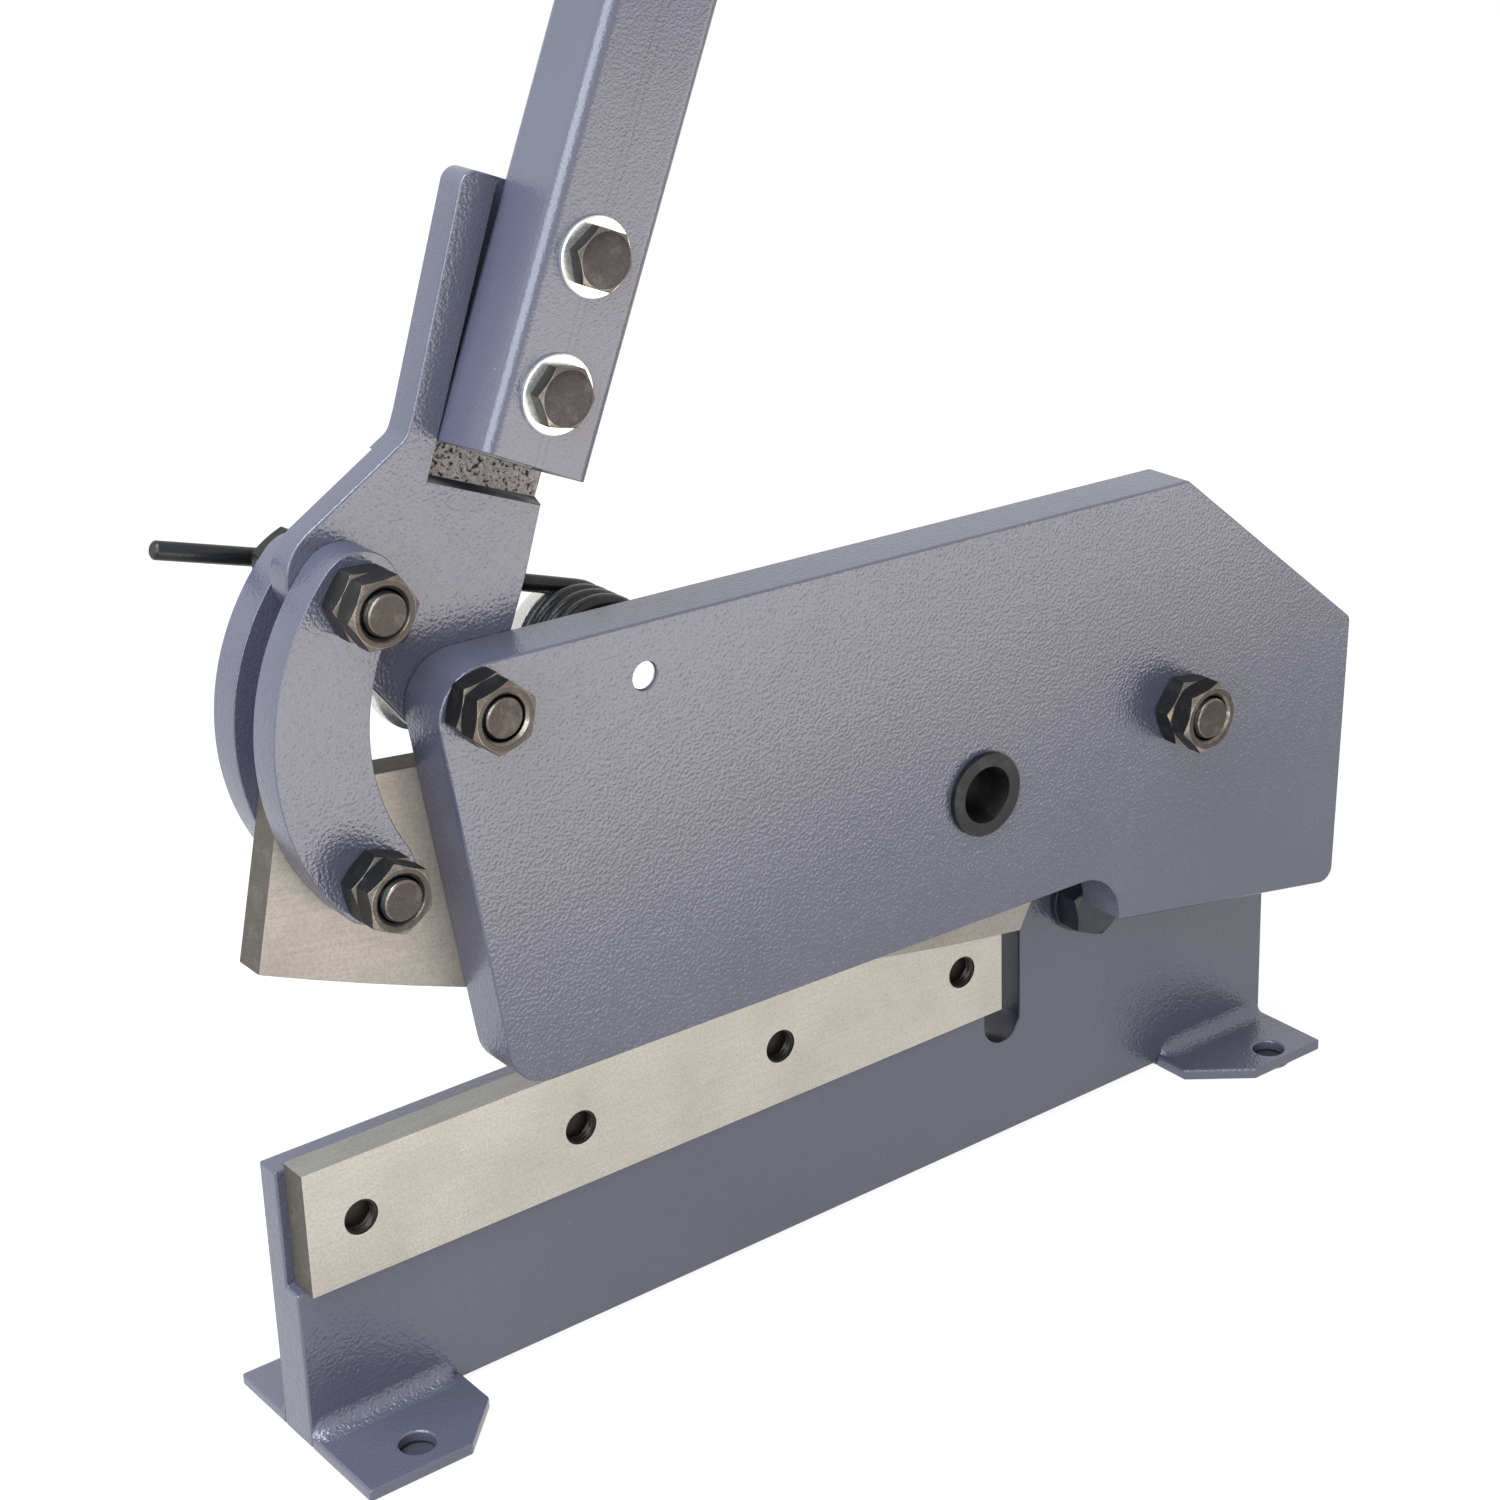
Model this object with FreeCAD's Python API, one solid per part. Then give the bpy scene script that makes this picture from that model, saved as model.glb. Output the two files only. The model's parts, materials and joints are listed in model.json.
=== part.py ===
import FreeCAD, Part
import math
import os

os.makedirs("parts", exist_ok=True)
V = FreeCAD.Vector

# Frame: X runs right along the shear, Y runs back, Z is up, in millimetres.
# While the pieces are made, X starts at the web's left end and Y at the web's front face.
# save() then moves each piece so that the origin is the centre of the foot holes, at floor level.

# Layers, front face and back face of each plate along Y
web_thick = 18.0
recess_depth = 7.5
lower_blade_thick = 12.0
blade_thick = 12.0
link_thick = 12.9
cheek_thick = 20.0
shear_gap = 0.1
slide_gap = 0.5
link_gap = 0.15
rear_link_gap = 0.3
lower_blade_front = recess_depth - lower_blade_thick
blade_back = lower_blade_front - shear_gap
blade_front = blade_back - blade_thick
cheek_back = blade_front - slide_gap
cheek_front = cheek_back - cheek_thick
rear_link_front = blade_back + rear_link_gap
rear_link_back = rear_link_front + link_thick
front_link_back = blade_front - link_gap
front_link_front = front_link_back - link_thick
lever_back = blade_back
lever_front = blade_front
hub_relief = 2.4
hub_back = lever_back - hub_relief

# Fits: a hole's extra radius on a still part and on a turning one, and the air beside a turning face
seat_clear = 0.05
running = 0.05
screw_clear = 0.2
face_gap = 0.1
nut_split = 0.2
easing = 0.8

# Lower blade and the two heights that the rest hangs on
lower_blade_length = 300.0
lower_blade_inset = 3.3
lower_blade_height = 45.5
cut_height = 104.5
blade_end = lower_blade_inset + lower_blade_length
blade_hole_edge = 20.0
blade_hole_count = 4
blade_screw = 12.0
screw_depth = 5.0

# Pivot points in the plane of the plates: the left ones from the web's end, the others from the blade's end
lever_pivot = (60.3, cut_height + 157.5)
upper_link = (26.5, cut_height + 197.5)
lower_link = (24.2, cut_height + 106.5)
spring_axis = (123.3, cut_height + 149.5)
blade_pivot = (blade_end + 59.7, cut_height + 73.5)
bar_hole = (blade_end - 37.8, cut_height + 67.0)
stop_point = (blade_end + 43.7, cut_height - 12.0)

# Web and feet
web_tail = 148.7
web_length = blade_end + web_tail
web_top = cut_height - 2.7
web_lift = 1.5
web_end_height = cut_height + 95.5
web_shoulder_top = cut_height + 131.5
web_shoulder_cut = 44.0
web_shoulder_round = 20.0
web_rise_round = 25.0
slot_width = 17.5
slot_right = blade_end + 13.2
slot_bottom = 42.0
foot_thick = 4.5
left_foot_reach = 37.5
right_foot_reach = 34.0
foot_back_reach = 30.0
left_foot_length = 57.5
right_foot_length = 60.0
foot_chamfer = 18.5
foot_chamfer_long = 23.0
foot_hole = 12.5
foot_hole_in = 25.5
foot_hole_out = 21.0
foot_hole_front = -25.0
foot_hole_back = 38.0
weld_width = 5.5
weld_height = 5.5
weld_belly = 0.35
weld_end = 2.0

# Moving blade: end points of its cutting edge, and how far the corners lie from them and from its pivot
blade_toe = (-10.3, cut_height + 81.5)
blade_heel = (blade_end - 1.7, cut_height - 6.7)
blade_top_left = (2.6, cut_height + 138.5)
edge_radius = 1150.0
blade_top_fall = 0.115
blade_top_round = 4.0
blade_toe_run = (-3.2, -14.0)
blade_heel_run = (-11.0, -20.0)
blade_neck = (-14.0, 4.0)
blade_lobe = 34.0

# Cheek outline, corner points with their rounding
cheek_left = 44.2
cheek_points = [
    (cheek_left, cut_height + 170.1, 17.0),
    (blade_end + 62.7, cut_height + 160.7, 3.0),
    (blade_end + 153.5, cut_height + 85.1, 3.0),
    (blade_end + 148.6, cut_height - 26.9, 6.0),
    (blade_end + 30.4, cut_height - 5.4, 1.0),
    (blade_end + 30.4, cut_height + 15.6, 19.5),
    (66.3, cut_height + 21.1, 16.0),
]

# Spacer between cheek and web
spacer_left = blade_end + 100.7
spacer_right = blade_end + 142.7
spacer_low = cut_height - 0.5
spacer_high = cut_height + 119.5
spacer_high_right = cut_height + 87.5
spacer_round = 4.0

# Fasteners
pivot_thread = 14.0
pivot_flats = 21.0
pivot_nut = 8.4
pivot_head = 8.8
main_thread = 16.0
main_flats = 24.0
main_nut = 8.3
main_head = 10.0
link_head = 5.0
bolt_proud = 1.5
lever_pivot_proud = -0.4
blade_pivot_proud = 0.6
thread_past = 2.0
tip_bevel = 1.2
head_land = 0.3
head_slope = 1.8
handle_thread = 12.0
handle_flats = 18.0
handle_head = 5.6
handle_nut = 10.0
handle_washer_out = 12.5
handle_washer = 1.5
stop_thread = 16.0
stop_flats = 24.0
stop_head = 10.0
stop_washer = 3.0
stop_washer_out = 14.4
stop_turn = 8.0

# How far the two nuts of each pair are turned, rear one first, and the two heads on the handle, low one first
lever_pivot_turns = (42.0, 48.0)
upper_link_turns = (25.0, 32.0)
lower_link_turns = (12.0, 4.0)
blade_pivot_turns = (21.0, 42.0)
handle_bolt_turns = (16.6, 6.7)

# Bushes for round bar
bush_outer = 13.0
bush_flange = 15.5
bush_bore = 9.0
bush_mouth = 10.5
bush_mouth_depth = 6.5
bush_proud = 2.5

# Links: radius of the round ends, their shift from the pivots, and how far the outer arc bows out
front_link_form = (14.3, 1.3, 31.4)
rear_link_form = (11.5, 0.0, 29.7)
link_inner_bow = 1.0
link_turn_off = 70.0

# Handle tube, placed by its lower left corner
handle_angle = 67.6
tube_corner = (66.6, cut_height + 235.7)
tube_width = 40.0
tube_depth = 30.0
tube_wall = 3.0
tube_round = 4.5
tube_length = 560.0
tube_end = -1.55
tube_cut_across = -0.068
tube_cut_back = 0.078
cap_thick = 4.0
cap_plug = 14.0
handle_bolt_low = 22.5
handle_bolt_pitch = 42.2
handle_bolt_across = tube_width / 2.0 - 0.9

# Lever plate: the tube's seat and the corners beside it (across, along, rounding), from the tube's corner
seat_depth = 5.0
seat_floor_end = -12.1
seat_ledge_end = -14.0
rib_top = 79.5
rib_wall_top = -3.8
rib_wall_low = -0.3
lever_top_left = (-16.5, rib_top, 5.0)
lever_neck = (-11.2, 4.0, 40.0)
lever_shoulder = (-11.2, -2.4, 6.0)
lever_low_right = (tube_width + 3.5, seat_ledge_end - 0.4, 2.5)
lever_top_right = (tube_width + 4.0, rib_top, 6.0)

# Lever plate: corners near its pivot (x, z, rounding), from the pivot, and the round lobe at the links
lever_heel = (21.7, -3.5, 6.0)
lever_waist = (34.1, 27.3, 30.0)
lever_lobe = (upper_link[0] + 0.8, upper_link[1] + 4.5)
relief_below = 4.0
lobe_radius = 16.0
lever_hub = 15.5
collar_radius = 17.5
collar_thick = 5.0

# Spring
wire = 6.0
coil_radius = 17.3
coil_turns = 3
coil_pitch = 6.3
coil_air = 1.0
spring_pin_radius = 5.0
spring_pin_sunk = 1.5
spring_pin_past = 2.0
spring_hub_radius = 12.8
spring_flange = 17.3
spring_flange_thick = 6.0
leg_plane = 21.0
leg_angle = 163.0
leg_tip = 147.0
leg_bend = 100.0

# The row's origin
foot_hole_x = (foot_hole_in, web_length - foot_hole_out)
origin = V(sum(foot_hole_x) / 2.0, (foot_hole_front + foot_hole_back) / 2.0, 0)


def vec(point, y=0.0):
    return V(point[0], y, point[1])


def shifted(point, move):
    return (point[0] + move[0], point[1] + move[1])


def polar(centre, radius, angle):
    return (centre[0] + radius * math.cos(angle), centre[1] + radius * math.sin(angle))


def corner_arc(before, corner, after, radius):
    # Tangent points and middle point of a rounded corner
    a = V(before[0] - corner[0], before[1] - corner[1], 0)
    b = V(after[0] - corner[0], after[1] - corner[1], 0)
    a.normalize()
    b.normalize()
    half = a.getAngle(b) / 2.0
    run = radius / math.tan(half)
    mid = a + b
    mid.normalize()
    centre = radius / math.sin(half)
    start = (corner[0] + a.x * run, corner[1] + a.y * run)
    end = (corner[0] + b.x * run, corner[1] + b.y * run)
    top = (corner[0] + mid.x * (centre - radius), corner[1] + mid.y * (centre - radius))
    return start, top, end


def outline(points):
    # Closed wire in the XZ plane from corner points (x, z, rounding)
    edges = []
    count = len(points)
    ends = []
    for i in range(count):
        x, z, r = points[i]
        if r > 0:
            before = points[i - 1]
            after = points[(i + 1) % count]
            start, top, end = corner_arc(before[:2], (x, z), after[:2], r)
            edges.append(Part.Arc(vec(start), vec(top), vec(end)).toShape())
            ends.append((start, end))
        else:
            ends.append(((x, z), (x, z)))
    for i in range(count):
        start = ends[i][1]
        end = ends[(i + 1) % count][0]
        if math.dist(start, end) > 1e-6:
            edges.append(Part.makeLine(vec(start), vec(end)))
    return Part.Wire(Part.__sortEdges__(edges))


def plate(points, front, back):
    # Flat plate of the given outline between two Y planes
    face = Part.Face(outline(points))
    solid = face.extrude(V(0, back - front, 0))
    solid.translate(V(0, front, 0))
    return solid


def eased(solid, planes, amount=easing):
    # The same plate with the outer edges of its faces in the given Y planes broken
    edges = []
    for face in solid.Faces:
        box = face.BoundBox
        for plane in planes:
            if box.YLength < 1e-6 and abs(box.YMin - plane) < 1e-6:
                edges.extend(face.OuterWire.Edges)
    return solid.makeChamfer(amount, edges)


def rod(point, radius, front, back):
    # Round bar along Y
    return Part.makeCylinder(radius, back - front, vec(point, front), V(0, 1, 0))


def cone(point, front_radius, back_radius, front, back):
    return Part.makeCone(front_radius, back_radius, back - front, vec(point, front), V(0, 1, 0))


def ring(point, outer, inner, front, back):
    return rod(point, outer, front, back).cut(rod(point, inner, front - 1, back + 1))


def hexagon(point, flats, front, back, turn=0.0, round_front=True, round_back=True):
    # Hexagon prism along Y with the corners of one or both ends turned off
    reach = flats / math.sqrt(3.0)
    points = [polar(point, reach, math.radians(turn + 30.0 + 60.0 * i)) + (0,) for i in range(6)]
    solid = plate(points, front, back)
    land = flats / 2.0 - head_land
    wide = land + (back - front) * head_slope
    if round_front:
        solid = solid.common(cone(point, land, wide, front, back))
    if round_back:
        solid = solid.common(cone(point, wide, land, front, back))
    return solid


def nut_pair(point, face, turns, flats=pivot_flats, thread=pivot_thread, height=pivot_nut):
    # Two thin nuts locked against each other in front of a plate face
    nuts = []
    for i, turn in enumerate(turns):
        back = face - i * (height + nut_split)
        nut = hexagon(point, flats, back - height, back, turn)
        nuts.append(nut.cut(rod(point, thread / 2.0 + seat_clear, back - height - 1, back + 1)))
    return Part.makeCompound(nuts)


def bolt_end(point, thread, tip, back):
    # Threaded end of a bolt with its bevelled tip at the front
    body = rod(point, thread / 2.0, tip + tip_bevel, back)
    nose = cone(point, thread / 2.0 - tip_bevel, thread / 2.0, tip, tip + tip_bevel)
    return body.fuse(nose)


def bolt(point, flats, thread, head, tip, seat):
    # Hex bolt with its head behind the seat plane and its tip at the front
    shape = hexagon(point, flats, seat, seat + head, round_front=False)
    return shape.fuse(bolt_end(point, thread, tip, seat)).removeSplitter()


def nut_tip(face, height, proud=bolt_proud):
    # Where a bolt ends in front of its nut pair
    return face - 2 * height - nut_split - proud


def save(name, shape):
    placed = shape.copy()
    placed.translate(origin * -1.0)
    placed.exportStep("parts/" + name + ".step")


def slot_cut(left, right, bottom, top, front, back):
    # Upright slot with a round bottom
    radius = (right - left) / 2.0
    middle = (left + right) / 2.0
    box = Part.makeBox(right - left, back - front, top - bottom - radius, V(left, front, bottom + radius))
    return box.fuse(rod((middle, bottom + radius), radius, front, back))


def blade_holes():
    # Hole positions along the lower blade
    pitch = (lower_blade_length - 2 * blade_hole_edge) / (blade_hole_count - 1)
    height = cut_height - lower_blade_height / 2.0
    first = lower_blade_inset + blade_hole_edge
    return [(first + i * pitch, height) for i in range(blade_hole_count)]


def base_web():
    right_foot = web_length - right_foot_length
    points = [
        (0, 0, 0),
        (left_foot_length, 0, 0),
        (left_foot_length, web_lift, 0),
        (right_foot, web_lift, 0),
        (right_foot, 0, 0),
        (web_length, 0, 0),
        (web_length, web_end_height, 0),
        (web_length - web_shoulder_cut, web_shoulder_top, web_shoulder_round),
        (slot_right, web_shoulder_top, web_rise_round),
        (slot_right, web_top, 0),
        (0, web_top, 0),
    ]
    solid = plate(points, 0, web_thick)
    lower = cut_height - lower_blade_height
    pocket = Part.makeBox(blade_end + 1, recess_depth, web_top, V(-1, 0, lower))
    solid = solid.cut(pocket)
    slot_left = slot_right - slot_width
    solid = solid.cut(slot_cut(slot_left, slot_right, slot_bottom, web_top + 10, -1, web_thick + 1))
    for hole in blade_holes():
        solid = solid.cut(rod(hole, blade_screw / 2.0 + screw_clear, -1, web_thick + 1))
    solid = solid.cut(rod(blade_pivot, main_thread / 2.0 + seat_clear, -1, web_thick + 1))
    return solid.cut(rod(stop_point, stop_thread / 2.0 + seat_clear, -1, web_thick + 1))


def foot(left, length, near, far, hole):
    # Foot plate on one side of the web, with its outer corner at the shear's middle cut off
    side = 1 if far > near else -1
    right = left + length
    cut = far - side * foot_chamfer
    if left > 0:
        points = [(left, near), (left, cut), (left + foot_chamfer_long, far), (right, far), (right, near)]
    else:
        points = [(left, near), (left, far), (right - foot_chamfer, far), (right, cut), (right, near)]
    wire = Part.makePolygon([V(x, y, 0) for x, y in points + points[:1]])
    solid = Part.Face(wire).extrude(V(0, 0, foot_thick))
    return solid.cut(Part.makeCylinder(foot_hole / 2.0, foot_thick * 3, V(hole[0], hole[1], -foot_thick)))


def weld(left, right, plane, side):
    # Hollow-faced fillet weld between a foot and the web
    toe = V(left, plane + side * weld_width, foot_thick)
    crown = V(left, plane, foot_thick + weld_height)
    corner = V(left, plane, foot_thick)
    belly = V(left, plane + side * weld_width * weld_belly, foot_thick + weld_height * weld_belly)
    arc = Part.Arc(toe, belly, crown).toShape()
    wire = Part.Wire([Part.makeLine(corner, toe), arc, Part.makeLine(crown, corner)])
    return Part.Face(wire).extrude(V(right - left, 0, 0))


def foot_welds():
    spans = [
        (0, left_foot_length - weld_end),
        (web_length - right_foot_length + weld_end, web_length),
    ]
    welds = []
    for left, right in spans:
        welds.append(weld(left, right, 0, -1))
        welds.append(weld(left, right, web_thick, 1))
    return Part.makeCompound(welds)


def lower_blade():
    corner = V(lower_blade_inset, lower_blade_front, cut_height - lower_blade_height)
    solid = Part.makeBox(lower_blade_length, lower_blade_thick, lower_blade_height, corner)
    for hole in blade_holes():
        solid = solid.cut(rod(hole, blade_screw / 2.0 + screw_clear, lower_blade_front - 1, recess_depth + 1))
    return solid


def lower_blade_screws():
    screws = []
    for hole in blade_holes():
        shank = rod(hole, blade_screw / 2.0, lower_blade_front + screw_depth, web_thick)
        head = hexagon(hole, handle_flats, web_thick, web_thick + handle_head, round_front=False)
        screws.append(head.fuse(shank).removeSplitter())
    return Part.makeCompound(screws)


def cheek():
    solid = eased(plate(cheek_points, cheek_front, cheek_back), [cheek_front])
    holes = [
        (lever_pivot, pivot_thread / 2.0),
        (blade_pivot, main_thread / 2.0),
        (bar_hole, bush_outer),
        (spring_axis, spring_pin_radius),
    ]
    for point, radius in holes:
        solid = solid.cut(rod(point, radius + seat_clear, cheek_front - 1, cheek_back + 1))
    return solid


def front_bush():
    mouth_front = cheek_front - bush_proud
    solid = rod(bar_hole, bush_outer, cheek_front, cheek_back)
    solid = solid.fuse(rod(bar_hole, bush_flange, mouth_front, cheek_front))
    solid = solid.cut(rod(bar_hole, bush_bore, mouth_front - 1, cheek_back + 1))
    mouth = cone(bar_hole, bush_mouth, bush_bore, mouth_front, mouth_front + bush_mouth_depth)
    return solid.cut(mouth).removeSplitter()


def blade_bush():
    return ring(bar_hole, bush_outer, bush_bore, blade_front, blade_back)


def cheek_spacer():
    # Block that joins the cheek to the web at the right
    points = [
        (spacer_left, spacer_low, spacer_round),
        (spacer_right, spacer_low, spacer_round),
        (spacer_right, spacer_high_right, spacer_round),
        (spacer_left, spacer_high, spacer_round),
    ]
    return plate(points, cheek_back, 0)


def moving_blade():
    toe = blade_toe
    heel = blade_heel
    fall = blade_top_fall * (blade_pivot[0] - blade_top_left[0])
    points = [
        shifted(toe, blade_toe_run) + (0,),
        shifted(heel, blade_heel_run) + (0,),
        shifted(blade_pivot, blade_neck) + (0,),
        (blade_pivot[0], blade_top_left[1] - fall, 0),
        blade_top_left + (blade_top_round,),
    ]
    solid = plate(points, blade_front, blade_back)
    lobe = rod(blade_pivot, blade_lobe, blade_front, blade_back)
    solid = solid.fuse(lobe).removeSplitter()
    span = math.dist(toe, heel)
    rise = math.sqrt(edge_radius ** 2 - (span / 2.0) ** 2)
    side = ((heel[1] - toe[1]) / -span, (heel[0] - toe[0]) / span)
    centre = ((toe[0] + heel[0]) / 2.0 + side[0] * rise, (toe[1] + heel[1]) / 2.0 + side[1] * rise)
    solid = solid.common(rod(centre, edge_radius, blade_front - 1, blade_back + 1))
    holes = [
        (blade_pivot, main_thread / 2.0 + running),
        (bar_hole, bush_outer + seat_clear),
        (lower_link, pivot_thread / 2.0 + seat_clear),
    ]
    for point, radius in holes:
        solid = solid.cut(rod(point, radius, blade_front - 1, blade_back + 1))
    return solid


def lower_link_pin():
    return rod(lower_link, pivot_thread / 2.0, blade_front, blade_back)


def link(front, back, form):
    # C-shaped plate: two round ends joined by an outer arc that holds them and an inner arc that they touch
    cap, shift, bow = form
    upper = shifted(upper_link, (shift, 0))
    lower = shifted(lower_link, (shift, 0))
    half = math.dist(upper, lower) / 2.0
    left = ((lower[1] - upper[1]) / (half * 2.0), (upper[0] - lower[0]) / (half * 2.0))
    middle = ((upper[0] + lower[0]) / 2.0, (upper[1] + lower[1]) / 2.0)

    def beside(offset):
        # Point beside the middle of the link's axis, to its left when positive
        return shifted(middle, (left[0] * offset, left[1] * offset))

    def meet(centre, end, radius):
        # Where an arc about the centre meets a round end
        return polar(centre, radius, math.atan2(end[1] - centre[1], end[0] - centre[0]))

    outer = (half ** 2 + bow ** 2 - cap ** 2) / (2 * (bow - cap))
    inner = (half ** 2 + link_inner_bow ** 2 - cap ** 2) / (2 * (cap - link_inner_bow))
    outer_centre = beside(bow - outer)
    inner_centre = beside(-inner - link_inner_bow)
    top_out, low_out = [meet(outer_centre, end, outer) for end in (upper, lower)]
    top_in, low_in = [meet(inner_centre, end, inner) for end in (upper, lower)]
    top = polar(upper, cap, math.radians(link_turn_off))
    low = polar(lower, cap, math.radians(-link_turn_off))
    edges = [
        Part.Arc(vec(top_out), vec(beside(bow)), vec(low_out)).toShape(),
        Part.Arc(vec(low_out), vec(low), vec(low_in)).toShape(),
        Part.Arc(vec(low_in), vec(beside(-link_inner_bow)), vec(top_in)).toShape(),
        Part.Arc(vec(top_in), vec(top), vec(top_out)).toShape(),
    ]
    solid = Part.Face(Part.Wire(Part.__sortEdges__(edges))).extrude(V(0, back - front, 0))
    solid.translate(V(0, front, 0))
    solid = eased(solid, [front, back], easing / 2.0)
    for point in (upper_link, lower_link):
        solid = solid.cut(rod(point, pivot_thread / 2.0 + running, front - 1, back + 1))
    return solid


def tube_point(across, along):
    # Point from the handle tube's lower left corner, across its width and along its axis
    angle = math.radians(handle_angle)
    x = tube_corner[0] + across * math.sin(angle) + along * math.cos(angle)
    z = tube_corner[1] - across * math.cos(angle) + along * math.sin(angle)
    return (x, z)


def by_tube(corner):
    # The same corner with its place beside the tube turned into x and z
    return tube_point(*corner[:2]) + corner[2:]


def handle_bolt_points():
    return [tube_point(handle_bolt_across, handle_bolt_low + i * handle_bolt_pitch) for i in range(2)]


def tangent(first, first_radius, second, second_radius):
    # Line that touches two circles on the right of the way from the first to the second
    base = math.atan2(second[1] - first[1], second[0] - first[0])
    angle = base - math.acos((first_radius - second_radius) / math.dist(first, second))
    return polar(first, first_radius, angle), polar(second, second_radius, angle)


def tube_seat():
    # Cutter for the recess that the tube lies in, with a sloped ledge at its lower end
    floor = lever_front + seat_depth
    wide = tube_width * 2
    low = tube_point(rib_wall_low, seat_floor_end)
    points = [low, tube_point(wide, seat_floor_end), tube_point(wide, rib_top * 2),
              tube_point(rib_wall_top + (rib_wall_top - rib_wall_low), rib_top * 2)]
    cutter = plate([point + (0,) for point in points], lever_front - 1, floor)
    slope = (seat_floor_end - seat_ledge_end) / seat_depth
    out = tube_point(rib_wall_low, seat_ledge_end - slope)
    ledge = Part.makePolygon([vec(low, lever_front - 1), vec(low, floor), vec(out, lever_front - 1),
                              vec(low, lever_front - 1)])
    reach = vec(tube_point(wide, 0)) - vec(tube_point(0, 0))
    return cutter.fuse(Part.Face(ledge).extrude(reach))


def lever_plate():
    a = lever_pivot
    shoulder = tube_point(*lever_shoulder[:2])
    upper_touch = tangent(shoulder, 0, lever_lobe, lobe_radius)[1]
    lobe_touch, hub_touch = tangent(lever_lobe, lobe_radius, a, lever_hub)
    heel = shifted(a, lever_heel)
    hub_end_touch = tangent(a, lever_hub, heel, 0)[0]
    points = [
        by_tube(lever_top_left),
        by_tube(lever_neck),
        by_tube(lever_shoulder),
        upper_touch + (0,),
        lobe_touch + (0,),
        hub_touch + (0,),
        hub_end_touch + (0,),
        heel + lever_heel[2:],
        shifted(a, lever_waist) + lever_waist[2:],
        by_tube(lever_low_right),
        by_tube(lever_top_right),
    ]
    solid = plate(points, lever_front, lever_back)
    solid = solid.fuse([
        rod(a, lever_hub, lever_front, lever_back),
        rod(lever_lobe, lobe_radius, lever_front, lever_back),
    ]).removeSplitter()
    solid = eased(solid, [lever_front, lever_back])
    size = lever_hub * 10
    relief_low = V(a[0] - size / 2.0, hub_back, shoulder[1] - relief_below - size)
    solid = solid.cut(Part.makeBox(size, hub_relief + 1, size, relief_low))
    solid = solid.cut(tube_seat())
    holes = [(a, pivot_thread / 2.0 + running), (upper_link, pivot_thread / 2.0 + seat_clear)]
    holes += [(point, handle_thread / 2.0 + seat_clear) for point in handle_bolt_points()]
    for point, radius in holes:
        solid = solid.cut(rod(point, radius, lever_front - 1, lever_back + 1))
    return solid


def tube_planes():
    back = lever_front + seat_depth
    return back - tube_depth, back


def tube_section(inset, y_front, y_back, along0, along1, rounding):
    # Rectangular bar along the handle with rounded long edges
    angle = math.radians(handle_angle)
    across = V(math.sin(angle), 0, -math.cos(angle))
    axis = V(math.cos(angle), 0, math.sin(angle))
    start = vec(tube_point(inset, along0), y_front)
    width = tube_width - 2 * inset
    wire = Part.makePolygon([
        start,
        start + across * width,
        start + across * width + V(0, y_back - y_front, 0),
        start + V(0, y_back - y_front, 0),
        start,
    ])
    solid = Part.Face(wire).extrude(axis * (along1 - along0))
    long_edges = [e for e in solid.Edges if abs(e.Length - (along1 - along0)) < 1e-6]
    return solid.makeFillet(rounding, long_edges)


def tube_end_cut():
    # Cutter for the tube's lower end, which is sawn slightly out of square
    front, back = tube_planes()
    middle = tube_width / 2.0

    def corner(across, y):
        skew = (across - middle) * tube_cut_across - (y - (front + back) / 2.0) * tube_cut_back
        return vec(tube_point(across, tube_end + skew), y)

    margin = 5.0
    far = tube_width + margin
    points = [
        corner(-margin, front - margin),
        corner(far, front - margin),
        corner(far, back + margin),
        corner(-margin, back + margin),
    ]
    angle = math.radians(handle_angle)
    down = V(math.cos(angle), 0, math.sin(angle)) * -tube_depth
    return Part.Face(Part.makePolygon(points + points[:1])).extrude(down)


def handle_tube():
    front, back = tube_planes()
    lead = 10.0
    solid = tube_section(0, front, back, -lead, tube_length, tube_round)
    bore = tube_section(tube_wall, front + tube_wall, back - tube_wall, -lead - 1, tube_length + 1,
                        tube_round - tube_wall)
    solid = solid.cut(bore).cut(tube_end_cut())
    for point in handle_bolt_points():
        solid = solid.cut(rod(point, handle_thread / 2.0 + seat_clear, front - 1, back + 1))
    return solid


def handle_cap():
    front, back = tube_planes()
    clear = tube_wall + seat_clear
    plug = tube_section(clear, front + clear, back - clear, tube_length - cap_plug, tube_length,
                        tube_round - tube_wall)
    lid = tube_section(0, front, back, tube_length, tube_length + cap_thick, tube_round)
    return plug.fuse(lid).removeSplitter()


def handle_bolts():
    front, back = tube_planes()
    seat = front - handle_washer
    bolts = []
    for point, turn in zip(handle_bolt_points(), handle_bolt_turns):
        head = hexagon(point, handle_flats, seat - handle_head, seat, turn, round_back=False)
        shank = rod(point, handle_thread / 2.0, seat, lever_back + handle_nut + thread_past)
        bolts.append(head.fuse(shank).removeSplitter())
    return Part.makeCompound(bolts)


def handle_washers():
    front = tube_planes()[0]
    hole = handle_thread / 2.0 + seat_clear
    return Part.makeCompound([
        ring(point, handle_washer_out, hole, front - handle_washer, front) for point in handle_bolt_points()
    ])


def handle_nuts():
    nuts = []
    for point in handle_bolt_points():
        nut = hexagon(point, handle_flats, lever_back, lever_back + handle_nut, round_front=False)
        hole = rod(point, handle_thread / 2.0 + seat_clear, lever_back - 1, lever_back + handle_nut + 1)
        nuts.append(nut.cut(hole))
    return Part.makeCompound(nuts)


def lever_pivot_bolt():
    seat = hub_back + face_gap + collar_thick
    tip = nut_tip(cheek_front, pivot_nut, lever_pivot_proud)
    return bolt(lever_pivot, pivot_flats, pivot_thread, pivot_head, tip, seat)


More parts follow.
